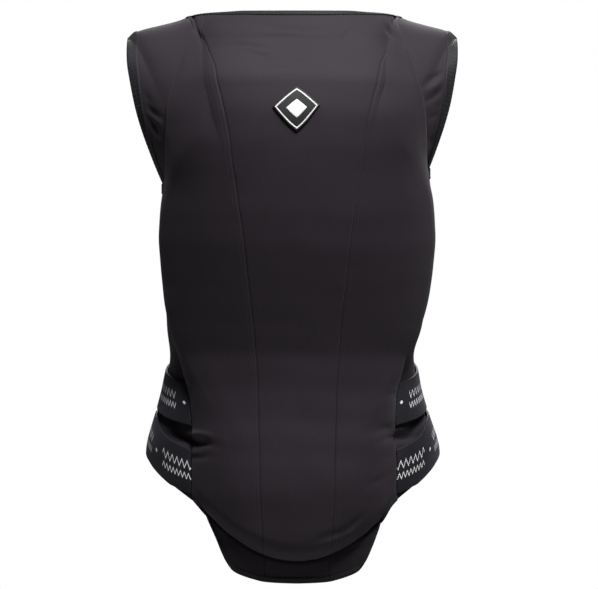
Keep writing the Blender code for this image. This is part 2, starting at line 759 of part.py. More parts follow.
def add_straps():
    """Two elastic waist straps on each side, from the back's outer seam to the front."""
    for side, name in ((-1, "left"), (1, "right")):
        for line in ("upper", "lower"):
            turn, rise = strap_grid(side, line)
            turn[:, 0] = moved_round(turn[:, 0], rise[:, 0], side * STRAP_START)
            turn, rise = turn[:, ::side], rise[:, ::side]
            high = STRAP_LIFT + STRAP_THICKNESS
            add_wall(f"waist_strap_{line}_{name}", turn, rise, high, STRAP_LIFT, ELASTIC)


def add_tabs():
    """Plain hook-and-loop tabs that join the straps over the zip."""
    height = STRAP_WIDTH - 2 * TAB_MARGIN
    for line in ("upper", "lower"):
        middle = curve(STRAPS, line, "along", 1.0)
        half = TAB_LENGTH / 2
        place = np.linspace(-half, half, 9)[None, :]
        cross = np.linspace(height / 2, -height / 2, 4)[:, None]
        share = middle + (cross + 0 * place) / VEST_LENGTH
        body = np.where(place < 0, local_half_width(1, share), local_half_width(-1, share))
        away = quarter_at(np.abs(place) / body)
        turn = 2 + np.sign(place) * away
        side, _, quarter = parts_of(turn)
        pit = armpit_height(side, quarter)
        hem = curve(HEM, "height", "turn", 2 - quarter)
        rise = (hem - share) / (hem - pit)
        low = STRAP_LIFT + STRAP_THICKNESS + LAYER_GAP
        add_wall(f"waist_tab_{line}", turn, rise, low + TAB_THICKNESS, low, HOOK_TAPE)


def add_band(name, edge, inner, lift, closed=False):
    """Tape folded over an edge, which the cloth ends in: one solid band.

    edge and inner hold a turn and a rise for each station, at the outer edge and at the
    cloth; lift is how far the cloth stands out there. On a closed band the first and
    the last station are the same place.
    """
    shares = (0.0, 0.2, 1.0, 1.0, 0.2, 0.0)
    proud = np.array([0.1, 1.0, 1.0, -0.4, -0.4, -0.1]) * BINDING_THICKNESS
    depth = np.array([0.0, 0.0, 0.0, CLOTH, CLOTH, CLOTH])
    rings = []
    for share, out, back in zip(shares, proud, depth):
        turn, rise = (edge + (inner - edge) * share).T
        rings.append(surface(turn, rise, np.where(back > 0, 0.0, lift) + out - back))
    points = np.stack(rings, axis=1)
    if closed:
        points[0] = (points[0] + points[-1]) / 2
        points = points[:-1]
    stations, ring = points.shape[:2]
    around = np.arange(ring)
    following = np.roll(around, -1)
    faces = []
    for i in range(stations if closed else stations - 1):
        a, b = i * ring, (i + 1) % stations * ring
        faces += np.stack([a + around, a + following, b + following], axis=1).tolist()
        faces += np.stack([a + around, b + following, b + around], axis=1).tolist()
    if not closed:
        last = (stations - 1) * ring
        caps = ((0, 1, 4, 5), (1, 2, 3, 4))
        faces += [list(cap)[::-1] for cap in caps]
        faces += [[last + v for v in cap] for cap in caps]
    return add_object(name, points.reshape(-1, 3), faces, BINDING_TAPE)


def into_cloth(turn, rise, away):
    """Steps in turn and rise for a metre into the cloth, square to the edge.

    away is a step in turn and rise that points off the cloth at each point.
    """
    by_turn, by_rise, normal = directions(turn, rise)
    path = np.gradient(form(turn, rise), axis=0)
    path /= np.linalg.norm(path, axis=1, keepdims=True)
    square = np.cross(normal, path)
    square /= np.linalg.norm(square, axis=1, keepdims=True)
    off = by_turn * away[:, :1] + by_rise * away[:, 1:]
    square *= -np.sign(np.sum(square * off, axis=1, keepdims=True))
    a, b = np.sum(by_turn**2, axis=1), np.sum(by_turn * by_rise, axis=1)
    c = np.sum(by_rise**2, axis=1)
    p, q = np.sum(square * by_turn, axis=1), np.sum(square * by_rise, axis=1)
    spread = a * c - b * b
    return np.stack([(p * c - q * b) / spread, (q * a - p * b) / spread], axis=1)


def add_armhole_bindings():
    """Tape round each armhole, one closed loop over the shoulder and under the arm."""
    for side, name in ((-1, "left"), (1, "right")):
        edge, inner = armhole_lines(side)
        middle = np.argmin(inner[:, 1])
        count = np.arange(len(inner))
        first, last = armhole_corners(side)
        back_rise = shoulder_grid(side)[1][::-1, -1]
        front_rise = front_grid(side)[1][len(FRONT_ROWS):, 0]
        under = np.abs(side_grid(side)[0][-1])
        under = under[(under > first + 0.001) & (under < last - 0.001)]
        at = np.concatenate([
            np.interp(-back_rise, -inner[:middle + 1, 1], count[:middle + 1]),
            np.interp(under, np.abs(inner[:, 0]), count),
            np.interp([1.0], inner[middle:, 1], count[middle:]),
            np.interp(front_rise, inner[middle:, 1], count[middle:]),
        ])
        at[0], at[-1] = 0, len(inner) - 1
        rim = np.stack([np.interp(at, count, column) for column in edge.T], axis=1)
        line = np.stack([np.interp(at, count, column) for column in inner.T], axis=1)
        line = rim + (line - rim) * (1 - BAND_GAP / ARMHOLE_BAND)
        order = slice(None, None, side)
        add_band(f"armhole_binding_{name}", rim[order], line[order], 0.0, closed=True)


def add_neck_binding():
    """Tape round the neck edge, from one side of the zip round the back to the other."""
    stations = []
    for side in (-1, 1):
        turn, rise = front_grid(side)
        stations.append(np.stack([turn[-1, 4:], rise[-1, 4:]], axis=1)[::side])
    back = [np.stack([turn[-1], rise[-1]], axis=1) for turn, rise in back_grids()]
    behind = np.concatenate([np.delete(back[0], [1, 7], 0), back[1], np.delete(back[2], [0, 6], 0)])
    front_left, front_right = stations
    inner = np.concatenate([front_left[:-1], behind, front_right[1:]])
    edge = np.stack([inner[:, 0], np.full(len(inner), 2.0)], axis=1)
    quarter = [quarter_at(NECK_SHARE * across(armhole_quarter(1.0, b))) for b in (True, False)]
    whole = np.abs(edge[:, 0])
    limit = np.where(whole < 1, np.minimum(whole, quarter[0]), np.maximum(whole, 2 - quarter[1]))
    edge[:, 0] = np.sign(edge[:, 0]) * limit
    inner = edge + (inner - edge) * NECK_BAND / (NECK_BAND + BAND_GAP)
    add_band("neck_binding", edge, inner, 0.0)


def add_tail_binding():
    """Tape along the tail's lower edge, between the back's outer seams."""
    nodes = [np.stack([turn[0], rise[0]], axis=1) for turn, rise in back_grids()]
    nodes[1] = nodes[1][1:-1]
    inner = np.concatenate(nodes)
    edge = np.stack([inner[:, 0], np.zeros(len(inner))], axis=1)
    lift = back_lift(inner[:, 0], inner[:, 1])
    inner = edge + (inner - edge) * TAIL_BAND / (TAIL_BAND + BAND_GAP)
    add_band("tail_binding", edge[::-1], inner[::-1], lift[::-1])


def add_badge():
    """Diamond badge that follows the back, with a raised rim and a raised lozenge."""
    middle = np.array([1.3])
    for _ in range(20):
        middle = middle + height_of(np.zeros(1), middle) - BADGE_DROP / VEST_LENGTH
    wide = form(0.1, middle)[0, 0] / 0.1
    tall = np.linalg.norm(directions(np.zeros(1), middle)[1])
    edge, rim, motif = BADGE_RIM_SHARE, BADGE_RIM_SHARE - BADGE_RIM_WIDTH, BADGE_MOTIF_SHARE
    half = [motif, motif + BADGE_STEP, rim - BADGE_STEP, rim, edge, 1.0]
    line = np.concatenate([-np.array(half[::-1]), half])
    u, v = np.meshgrid(line, line)
    reach = BADGE_DIAGONAL / 4
    turn = (u - v) * reach / wide
    rise = middle + (u + v) * reach / tall
    far = np.maximum(np.abs(u), np.abs(v))
    raised = ((far > rim - 0.001) & (far < edge + 0.001)) | (far < motif + 0.001)
    low = back_lift(turn, rise) + LAYER_GAP
    outer = low + BADGE_THICKNESS + raised * BADGE_RELIEF
    add_wall("badge", turn, rise, outer, low, BADGE_RUBBER)


def main():
    for old in list(bpy.data.objects):
        bpy.data.objects.remove(old)
    add_back_panels()
    add_thin_panels()
    add_zip()
    add_straps()
    add_tabs()
    add_armhole_bindings()
    add_tail_binding()
    add_neck_binding()
    add_badge()


main()
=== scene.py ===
"""Looks of a rider's back protector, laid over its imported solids.

Every piece is worked out on the same body form as the solids, on a finer grid. A point
of the form has a turn and a rise, and a lift out from it:
turn: quarter turns round the body, 0 at the centre of the back, 1 at the side and 2 at
      the centre of the front, negative on the left;
rise: 0 at the lower edge, 1 at the armpit, 2 at the neck edge or the shoulder seam;
lift: metres out along the form's normal.
"""

import math
from collections import namedtuple

import bmesh
import bpy
import numpy as np
from bpy.props import FloatProperty, FloatVectorProperty
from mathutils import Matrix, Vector


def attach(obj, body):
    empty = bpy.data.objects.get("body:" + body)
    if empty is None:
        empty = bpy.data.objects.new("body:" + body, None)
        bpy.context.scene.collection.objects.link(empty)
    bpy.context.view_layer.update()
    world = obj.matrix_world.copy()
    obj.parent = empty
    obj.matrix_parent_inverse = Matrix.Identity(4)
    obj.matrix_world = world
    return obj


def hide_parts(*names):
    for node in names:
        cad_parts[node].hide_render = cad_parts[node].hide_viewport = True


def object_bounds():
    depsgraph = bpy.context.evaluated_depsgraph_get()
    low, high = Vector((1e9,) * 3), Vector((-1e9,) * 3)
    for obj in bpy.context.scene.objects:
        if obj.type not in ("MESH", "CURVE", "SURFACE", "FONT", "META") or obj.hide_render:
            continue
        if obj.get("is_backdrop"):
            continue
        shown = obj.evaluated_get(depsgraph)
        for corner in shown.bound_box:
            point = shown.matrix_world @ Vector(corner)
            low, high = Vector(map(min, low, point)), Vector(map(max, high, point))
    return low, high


bl_info = {
    "name": "Rider's back protector",
    "version": (1, 0, 0),
    "blender": (4, 5, 0),
    "location": "3D View > Sidebar > Back protector",
    "description": "Builds the cloth, padding, straps and trim of a rider's back protector",
    "category": "Mesh",
}

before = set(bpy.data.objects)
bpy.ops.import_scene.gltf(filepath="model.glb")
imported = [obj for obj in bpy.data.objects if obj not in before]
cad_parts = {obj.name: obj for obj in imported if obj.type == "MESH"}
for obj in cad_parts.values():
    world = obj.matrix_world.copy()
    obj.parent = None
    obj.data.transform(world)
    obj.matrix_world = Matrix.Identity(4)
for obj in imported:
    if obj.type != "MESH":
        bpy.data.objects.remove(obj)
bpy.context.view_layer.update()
MM = 0.001

# Whole vest, in metres
VEST_LENGTH = 0.605
CHEST_WIDTH = 0.295
SHOULDER_WIDTH = 0.352
SHOULDER_SHIFT = 0.005
SHOULDER_SLOPE = 0.0215
BACK_DEPTH = 0.112
FRONT_DEPTH = 0.104
ARMPIT_DROP = 0.1735
ARMPIT_TILT = 0.0085
BODY_ROUNDNESS = 2.3

# Neck opening
NECK_BACK = 0.058
NECK_FRONT = 0.074
NECK_DROP = 0.088
NECK_SHARE = 0.62
NECK_FRONT_CURVE = 1.7

# Armholes
ARMHOLE_BACK_TURN = 0.50
ARMHOLE_FRONT_TURN = 0.50
ARMHOLE_FLAT = 0.06
ARMHOLE_ROUNDING = 0.55

# Seams: sweep of the side seam, and rise in which the outer seam meets the neck's corner
SIDE_SEAM_SWEEP = 0.16
NECK_CORNER_BLEND = 0.30

# Walls
CLOTH = 0.0020
BAND_GAP = 0.0011

# Pad in the back
PAD_THICKNESS = 0.0170
PAD_EDGE = 0.0030
PAD_TOP_START = 0.028
PAD_TOP_SLOPE = 0.055
PAD_FOOT_MARGIN = 0.0235
PAD_FOOT_RISE = 0.050
PAD_FOOT_WIDTH = 0.094
PAD_FOOT_SLOPE = 0.017

# Zip, waist straps and their fastening tabs
ZIP_WIDTH = 0.026
ZIP_THICKNESS = 0.0032
STRAP_WIDTH = 0.044
STRAP_THICKNESS = 0.0020
STRAP_LIFT = 0.0016
STRAP_START = 0.0015
STRAP_END = 0.034
TAB_LENGTH = 0.116
TAB_THICKNESS = 0.0020
TAB_MARGIN = 0.003

# Edge bindings
BINDING_THICKNESS = 0.0011
ARMHOLE_BAND = 0.0095
NECK_BAND = 0.0045
TAIL_BAND = 0.0050

# Badge on the back
BADGE_DIAGONAL = 0.0445
BADGE_DROP = 0.1095
BADGE_THICKNESS = 0.0018
BADGE_RELIEF = 0.0006
BADGE_RIM_SHARE = 0.90
BADGE_RIM_WIDTH = 0.09
BADGE_MOTIF_SHARE = 0.40
LAYER_GAP = 0.0009

# Detail of the cloth, in metres
SEAM_DIP = 0.0010
SEAM_ROLL = 0.0024
PAD_ROLL = 0.0040
FOOT_GROOVE = 0.0016
FOOT_GROOVE_WIDTH = 0.0022
SWELL_LIMIT = 0.0028
SWELL_PRESSURE = 4.0
SWELL_ROWS = 110
SWELL_COLUMNS = 26
SWELL_STEPS = 20
RIPPLE_DEPTH = 0.00022
RIPPLE_LENGTH = 0.046
RIPPLE_WIDTH = 0.0075
TOPSTITCH_OFFSET = 0.0052

# Sewing thread
STITCH_LENGTH = 0.0030
STITCH_SHARE = 0.78
THREAD_RADIUS = 0.00026

# Marks woven into the waist straps: a block of two zigzag rows, then a dot, repeated. A
# zigzag row has its middle's place across the strap, its height and its pitch.
MARK_REPEAT = 0.070
MARK_BLOCK = 0.044
MARK_DOT_PLACE = 0.057
MARK_DOT = 0.0019
MARK_ROWS = ((0.0066, 0.0060, 0.0052), (-0.0052, 0.0082, 0.0070))
MARK_STROKE = 0.0011
MARK_START = {"upper": 0.0505, "lower": 0.003}

# Waist straps' relief: bowed across, drawn down at the back's seam and faintly wavy
STRAP_CROWN = 0.0005
STRAP_EDGE = 0.0002
STRAP_ROLL = 0.0012
STRAP_PULL = 0.0012
STRAP_PULL_REACH = 0.006
STRAP_WAVE = 0.0004
STRAP_WAVE_LENGTH = 0.011
STRAP_WAVE_REACH = 0.06

# Distance between the knits' wales, drawn coarser than the real ones
SHELL_WALE = 0.0013
SIDE_WALE = 0.0012
LINING_WALE = 0.0018

# Edge tapes: share of the width that the tape covers, its pucker between stitches, the
# width of its map, and the stitch rows as shares of the width
BAND_OVER = 1.16
BAND_PUCKER = 0.10
TAPE_UV_WIDTH = 0.0095
ARMHOLE_STITCH_ROWS = (0.30, 0.58, 1.04)
EDGE_STITCH_ROWS = (0.75,)

# Share of a tape's width that the panels reach under it, and the share of the way out over
# which the neck tape's inner line runs into the shoulder seam
UNDER_TAPE = 0.7
NECK_TUCK = 0.07

# Zip: width and pitch of the teeth, their base height, and the tapes' edges; the stagger
# moves each side's teeth by a quarter of their wave, in radians
ZIP_TEETH = 0.0054
ZIP_PITCH = 0.0034
ZIP_STAGGER = 1.57
ZIP_SLIT = 0.0004
ZIP_TOOTH_BASE = 0.0004
ZIP_ROLL = 0.0012
ZIP_EDGE_DROP = 0.0006

# Distance from the armhole tape in which the shoulder's creases die out
TAPE_FADE = 0.011

# Rounding of the form's bend at the armpit: rows in the mean, reach in rise, and the
# distance from a seam over which it sets in
ARMPIT_ROWS = 8
ARMPIT_REACH = 0.09
ARMPIT_FADE = 0.012

# Name of every piece's map, and the front panels' columns between armhole and neck
CLOTH_MAP = "cloth"
FRONT_SPLIT = 46

# Camera and stage
FRAME_PX = (598, 589)
METRES_PER_PX = 0.00106
CENTRE_LINE_PX = 296.9
NECK_EDGE_PX = 11.0
SHARP_PLANE = -0.045
CAMERA_DISTANCE = 9.0
SENSOR_WIDTH = 36.0
FLOOR_DROP = 0.90
FLOOR_RADIUS = 7.0
ROOM_LIGHT = 0.02
LAMP_SPREAD = 95.0

# Lamps: name; place; the point it aims at; size; and power
LAMPS = (
    ("key_softbox", (0.42, -1.15, 1.80), (0, 0, -0.2), 0.8, 18),
    ("top_softbox", (-0.25, -0.16, 1.7), (0, 0, 0.0), 0.7, 3.6),
    ("right_softbox", (1.1, -0.45, 1.7), (0, 0, 0.0), 0.6, 3.0),
    ("front_fill", (0.0, -4.4, 0.9), (0, 0, -0.3), 2.0, 1.2),
    ("behind_fill", (0.3, 2.6, 1.5), (0, 0.1, -0.3), 1.6, 20),
)

# Body sections: height; half widths left and right as shares of half the chest width;
# depths behind and in front as shares of the back and front depth.
Section = namedtuple("Section", "height left right back front")
SECTIONS = (
    Section(0.000, 0.970, 0.956, 0.80, 0.80),
    Section(0.100, 0.970, 0.956, 0.93, 0.84),
    Section(0.200, 0.970, 0.956, 1.00, 0.90),
    Section(0.285, 0.970, 0.956, 1.00, 0.96),
    Section(0.331, 0.970, 0.976, 1.00, 0.99),
    Section(0.401, 0.968, 0.970, 0.98, 1.00),
    Section(0.480, 0.950, 0.946, 0.91, 0.95),
    Section(0.550, 0.940, 0.905, 0.84, 0.87),
    Section(0.606, 0.916, 0.845, 0.80, 0.82),
    Section(0.655, 0.942, 0.866, 0.81, 0.82),
    Section(0.716, 1.010, 0.941, 0.85, 0.84),
    Section(0.772, 1.065, 1.006, 0.91, 0.87),
    Section(0.850, 1.080, 1.022, 0.97, 0.90),
    Section(0.930, 1.080, 1.045, 0.97, 0.92),
    Section(1.000, 1.080, 1.045, 0.92, 0.92),
)

# Lower edge: turn, and height.
HemPoint = namedtuple("HemPoint", "turn height")
HEM = (
    HemPoint(0.000, 1.000),
    HemPoint(0.060, 0.999),
    HemPoint(0.111, 0.997),
    HemPoint(0.150, 0.993),
    HemPoint(0.189, 0.988),
    HemPoint(0.239, 0.979),
    HemPoint(0.275, 0.962),
    HemPoint(0.300, 0.944),
    HemPoint(0.330, 0.918),
    HemPoint(0.379, 0.883),
    HemPoint(0.415, 0.866),
    HemPoint(0.483, 0.850),
    HemPoint(0.541, 0.839),
    HemPoint(0.641, 0.822),
    HemPoint(0.753, 0.804),
    HemPoint(0.870, 0.787),
    HemPoint(1.000, 0.776),
    HemPoint(1.300, 0.763),
    HemPoint(1.600, 0.755),
    HemPoint(2.000, 0.753),
)

# Shoulder and neck edge: share of the way out to the shoulder tip, and share of the slope.
TopPoint = namedtuple("TopPoint", "across drop")
TOP_EDGE = (
    TopPoint(0.00, 0.00),
    TopPoint(0.30, 0.00),
    TopPoint(0.43, 0.06),
    TopPoint(0.52, 0.10),
    TopPoint(0.60, 0.17),
    TopPoint(0.65, 0.27),
    TopPoint(0.70, 0.42),
    TopPoint(0.80, 0.64),
    TopPoint(0.90, 0.84),
    TopPoint(0.955, 1.00),
    TopPoint(1.00, 1.35),
)

# Armhole edge: share of its height; share of the way out from the chest's half width to
# the shoulder's; and the front edge's half width as a share of the back edge's.
ArmholePoint = namedtuple("ArmholePoint", "up out front")
ARMHOLE = (
    ArmholePoint(0.000, 0.00, 1.000),
    ArmholePoint(0.100, 0.17, 0.975),
    ArmholePoint(0.200, 0.33, 0.950),
    ArmholePoint(0.350, 0.55, 0.925),
    ArmholePoint(0.500, 0.73, 0.915),
    ArmholePoint(0.700, 0.90, 0.930),
    ArmholePoint(0.850, 0.99, 0.960),
    ArmholePoint(0.930, 1.00, 0.985),
    ArmholePoint(1.000, 0.99, 1.000),
)

# Long seams of the back: height; centre seam as a share of half the chest width; outer
# seam and the ridge of the pad as shares of the body's half width there.
SeamPoint = namedtuple("SeamPoint", "height centre outer ridge")
SEAMS = (
    SeamPoint(0.000, 0.665, 0.790, 0.60),
    SeamPoint(0.030, 0.680, 0.775, 0.60),
    SeamPoint(0.065, 0.630, 0.820, 0.61),
    SeamPoint(0.107, 0.555, 0.880, 0.62),
    SeamPoint(0.138, 0.530, 0.925, 0.635),
    SeamPoint(0.163, 0.505, 0.950, 0.655),
    SeamPoint(0.193, 0.478, 0.962, 0.690),
    SeamPoint(0.226, 0.452, 0.964, 0.745),
    SeamPoint(0.261, 0.436, 0.964, 0.815),
    SeamPoint(0.303, 0.408, 0.966, 0.870),
    SeamPoint(0.340, 0.388, 0.974, 0.900),
    SeamPoint(0.401, 0.355, 0.982, 0.920),
    SeamPoint(0.480, 0.322, 0.978, 0.910),
    SeamPoint(0.541, 0.297, 0.958, 0.880),
    SeamPoint(0.585, 0.282, 0.930, 0.845),
    SeamPoint(0.629, 0.270, 0.875, 0.770),
    SeamPoint(0.655, 0.266, 0.830, 0.700),
    SeamPoint(0.681, 0.264, 0.785, 0.640),
    SeamPoint(0.716, 0.262, 0.740, 0.560),
    SeamPoint(0.772, 0.258, 0.700, 0.490),
    SeamPoint(0.851, 0.250, 0.690, 0.410),
    SeamPoint(0.920, 0.236, 0.690, 0.330),
    SeamPoint(1.000, 0.226, 0.690, 0.250),
)

# Waist straps: share of the way along, and the heights of the two centre lines.
StrapPoint = namedtuple("StrapPoint", "along upper lower")
STRAPS = (
    StrapPoint(0.00, 0.690, 0.806),
    StrapPoint(0.14, 0.678, 0.784),
    StrapPoint(0.32, 0.661, 0.747),
    StrapPoint(0.60, 0.636, 0.724),
    StrapPoint(1.00, 0.620, 0.711),
)

# Main folds: side; turn and height of the middle; length, width and depth in metres
# (a negative depth is a crease); and the slope in degrees, down towards the back.
Fold = namedtuple("Fold", "side turn height length width depth slope")
FOLDS = (
    Fold(-1, 0.64, 0.716, 0.060, 0.0090, -0.0036, 22),
    Fold(-1, 0.56, 0.756, 0.050, 0.0090, -0.0032, 18),
    Fold(1, 0.66, 0.722, 0.056, 0.0090, -0.0036, 30),
    Fold(1, 0.60, 0.756, 0.048, 0.0090, -0.0034, 24),
    Fold(1, 0.44, 0.738, 0.044, 0.0090, -0.0022, 4),
    Fold(-1, 0.66, 0.190, 0.040, 0.0120, -0.0024, -36),
    Fold(1, 0.66, 0.150, 0.040, 0.0120, -0.0024, 36),
)

# A quarter of the girth, in which the folds' turns are measured, and the waist's rise
QUARTER_GIRTH = 0.19
WAIST_RISE = 0.27

# Small creases seen from behind, in millimetres: place to the right of the middle and
# down from the neck edge; length, width and depth (a ridge where it is above zero); and
# the slope in degrees, down to the right.
Crease = namedtuple("Crease", "x down length width depth slope")
CREASES = (
    Crease(-101, 28, 24, 3.2, -2.0, 62),
    Crease(-95, 31, 20, 3.4, 0.4, 60),
    Crease(98, 25, 18, 3.2, -2.1, 52),
    Crease(106, 31, 24, 3.0, -1.68, 54),
    Crease(102, 33, 14, 3.0, 1.12, 48),
    Crease(-50, 40, 62, 3.0, -0.77, 2),
    Crease(-42, 50, 28, 2.6, -0.94, 8),
    Crease(-36, 55, 24, 2.6, -1.02, 10),
    Crease(-8, 59, 28, 2.6, -0.94, 6),
    Crease(-13, 67, 38, 2.8, -0.77, 2),
    Crease(50, 54, 28, 2.6, -1.19, 0),
    Crease(15, 66, 32, 2.8, -0.77, -3),
    Crease(16, 41, 44, 3.0, -0.65, -1),
    Crease(52, 27, 16, 3.0, -0.77, -62),
    Crease(3, 22, 70, 3.4, -0.54, 0),
    Crease(-20, 30, 50, 3.2, -0.54, 3),
    Crease(34, 34, 44, 3.2, -0.54, -4),
    Crease(-153, 108, 26, 3.6, -1.95, 42),
    Crease(-157, 118, 24, 3.4, -1.95, 45),
    Crease(-150, 126, 20, 3.4, -1.5, 50),
    Crease(-160, 92, 18, 3.6, -1.05, 55),
    Crease(-154, 113, 22, 3.4, 1.05, 43),
    Crease(145, 71, 28, 3.6, -1.8, -36),
    Crease(148, 89, 28, 3.6, -2.1, -38),
    Crease(147, 80, 24, 3.6, 1.2, -37),
    Crease(146, 112, 18, 3.4, -1.8, -42),
    Crease(151, 102, 16, 3.2, -1.2, -46),
    Crease(144, 138, 14, 3.4, -1.5, -50),
    Crease(-122, 452, 34, 5.4, -4.2, 22),
    Crease(-103, 458, 36, 3.6, -4.8, 14),
    Crease(-101, 450, 30, 3.4, 2.8, 10),
    Crease(-106, 468, 20, 3.8, 1.26, 5),
    Crease(-98, 473, 30, 3.6, -1.26, -4),
    Crease(-139, 433, 24, 3.8, -1.82, 20),
    Crease(-134, 444, 24, 3.6, 1.12, 26),
    Crease(95, 445, 38, 4.4, -2.0, -6),
    Crease(108, 452, 40, 3.8, -4.4, -12),
    Crease(106, 443, 36, 3.4, 2.6, -14),
    Crease(84, 497, 28, 3.8, -1.26, -30),
    Crease(130, 438, 32, 3.8, -1.68, -45),
    Crease(137, 449, 22, 3.6, -1.4, -42),
    Crease(96, 409, 24, 3.2, -0.84, -10),
    Crease(40, 552, 44, 4.4, -2.7, -27),
    Crease(57, 541, 24, 3.8, -1.65, -50),
    Crease(56, 568, 46, 4.6, -1.65, -18),
    Crease(72, 561, 24, 4.6, 1.05, -30),
    Crease(-80, 560, 30, 5.6, -1.35, 60),
    Crease(-70, 568, 26, 5.6, 0.9, 52),
)


def curve(table, wanted, along, at):
    """Smooth curve through a table's points that never overshoots them."""
    x = np.array([getattr(row, along) for row in table])
    y = np.array([getattr(row, wanted) for row in table])
    span = np.diff(x)
    slope = np.diff(y) / span
    middle = np.zeros(len(x))
    same_way = slope[:-1] * slope[1:] > 0
    mean = 2 * slope[:-1] * slope[1:] / np.where(same_way, slope[:-1] + slope[1:], 1.0)
    middle[1:-1] = np.where(same_way, mean, 0.0)
    middle[0], middle[-1] = slope[0], slope[-1]
    at = np.clip(at, x[0], x[-1])
    i = np.clip(np.searchsorted(x, at, side="right") - 1, 0, len(span) - 1)
    s = (at - x[i]) / span[i]
    rise = middle[i] * (s - 2 * s**2 + s**3) + middle[i + 1] * (s**3 - s**2)
    return y[i] + (y[i + 1] - y[i]) * (3 * s**2 - 2 * s**3) + rise * span[i]


def ease(s):
    """0 below 0 and 1 above 1, with a slope of zero at both ends."""
    s = np.clip(s, 0, 1)
    return s * s * (3 - 2 * s)


def ramp(s):
    """0 below 0, a straight slope, and a rounded top that reaches 1."""
    s = np.clip(s, 0, 1.25) / 1.25
    return 1 - (1 - s) ** 1.8


def section(field, height):
    """A body section's share at a height share."""
    return curve(SECTIONS, field, "height", height)


def parts_of(turn):
    """The side, -1 or 1; whether the point is behind; and its share of a quarter turn."""
    turn = np.mod(np.asarray(turn, float) + 2, 4) - 2
    side = np.where(turn < 0, -1.0, 1.0)
    whole = np.abs(turn)
    behind = whole <= 1
    return side, behind, np.where(behind, whole, 2 - whole)


def across(quarter):
    """Share of the half width at a share of a quarter turn round a rounded oval."""
    return np.sin(np.clip(quarter, 0, 1) * math.pi / 2) ** (2 / BODY_ROUNDNESS)


def outward(quarter):
    """Share of the depth at a share of a quarter turn round a rounded oval."""
    return np.cos(np.clip(quarter, 0, 1) * math.pi / 2) ** (2 / BODY_ROUNDNESS)


def quarter_at(share):
    """The inverse of across."""
    share = np.clip(share, 0, 1)
    return np.arcsin(share ** (BODY_ROUNDNESS / 2)) * 2 / math.pi


def armhole_quarter(up, behind):
    """Where the armhole's edge is, as a share of a quarter turn."""
    reach = np.where(behind, ARMHOLE_BACK_TURN, ARMHOLE_FRONT_TURN)
    return 1 - ARMHOLE_FLAT - (reach - ARMHOLE_FLAT) * np.clip(up, 0, 1) ** ARMHOLE_ROUNDING


def armpit_height(side, quarter):
    """Height share of the armpit's level, which tilts a little across the body."""
    return (ARMPIT_DROP - side * across(quarter) * ARMPIT_TILT) / VEST_LENGTH


def hem_height(behind, quarter):
    """Height share of the lower edge."""
    return curve(HEM, "height", "turn", np.where(behind, quarter, 2 - quarter))


def body_rise(side, behind, quarter, height):
    """Rise of a point below the armpit, from its height share."""
    hem = hem_height(behind, quarter)
    return (hem - height) / (hem - armpit_height(side, quarter))


def top_edge(behind, share):
    """Height and forward place of the neck edge and shoulder seam, and the arc's angle."""
    share = np.clip(share, 0, 1)
    inward = np.minimum(share / NECK_SHARE, 1)
    bow = np.where(behind, (1 - inward**2) ** 0.55, 1 - inward**NECK_FRONT_CURVE)
    drop = curve(TOP_EDGE, "drop", "across", np.where(behind, share, np.maximum(share, NECK_SHARE)))
    height = (drop * SHOULDER_SLOPE + np.where(behind, 0, bow * NECK_DROP)) / VEST_LENGTH
    forward = bow * np.where(behind, -NECK_BACK, NECK_FRONT)
    steep = ease(share / NECK_SHARE)
    angle = np.radians(np.where(behind, 56, 42) + steep * np.where(behind, 32, 46))
    return height, forward, angle


def edge_half_width(side, behind, up):
    """Half width at the armhole's edge."""
    pit = armpit_height(side, 1.0)
    chest = np.where(side < 0, section("left", pit), section("right", pit)) * CHEST_WIDTH / 2
    shoulder = SHOULDER_WIDTH / 2 - side * SHOULDER_SHIFT
    low = chest * across(1 - ARMHOLE_FLAT)
    out = curve(ARMHOLE, "out", "up", up)
    inset = np.where(behind, 1.0, curve(ARMHOLE, "front", "up", up))
    return (low + (shoulder - low) * out) * inset


def half_width(turn, rise):
    """Half width of the oval that the point lies on."""
    side, behind, _ = parts_of(turn)
    low = height_of(turn, np.minimum(rise, 1))
    body = np.where(side < 0, section("left", low), section("right", low)) * CHEST_WIDTH / 2
    t = np.clip(rise - 1, 0, 1)
    tip = np.radians(88.0)
    up = np.sin(t * tip) / np.sin(tip)
    upper = edge_half_width(side, behind, up) / across(armhole_quarter(t, behind))
    return np.where(rise <= 1, body, upper)


def height_of(turn, rise):
    """Height share of a point of the form."""
    side, behind, quarter = parts_of(turn)
    pit = armpit_height(side, quarter)
    hem = hem_height(behind, quarter)
    low = hem + (pit - hem) * np.clip(rise, 0, 1)
    t = np.clip(rise - 1, 0, 1)
    share = across(quarter) / across(armhole_quarter(1.0, behind))
    top, _, angle = top_edge(behind, share)
    high = pit + (top - pit) * np.sin(t * angle) / np.sin(angle)
    return np.where(rise <= 1, low, high)


def form(turn, rise):
    """Points of the body form, an array with x, y and z last."""
    turn, rise = np.broadcast_arrays(np.asarray(turn, float), np.asarray(rise, float))
    side, behind, quarter = parts_of(turn)
    height = height_of(turn, rise)
    x = side * half_width(turn, rise) * across(quarter)
    depth = np.where(
        behind, -BACK_DEPTH * section("back", height), FRONT_DEPTH * section("front", height)
    )
    t = np.clip(rise - 1, 0, 1)
    share = across(quarter) / across(armhole_quarter(1.0, behind))
    _, forward, angle = top_edge(behind, share)
    over = (1 - np.cos(t * angle)) / (1 - np.cos(angle))
    y = depth * outward(quarter) * (1 - over) + forward * over
    return np.stack([x, y, SHOULDER_SLOPE - height * VEST_LENGTH], axis=-1)


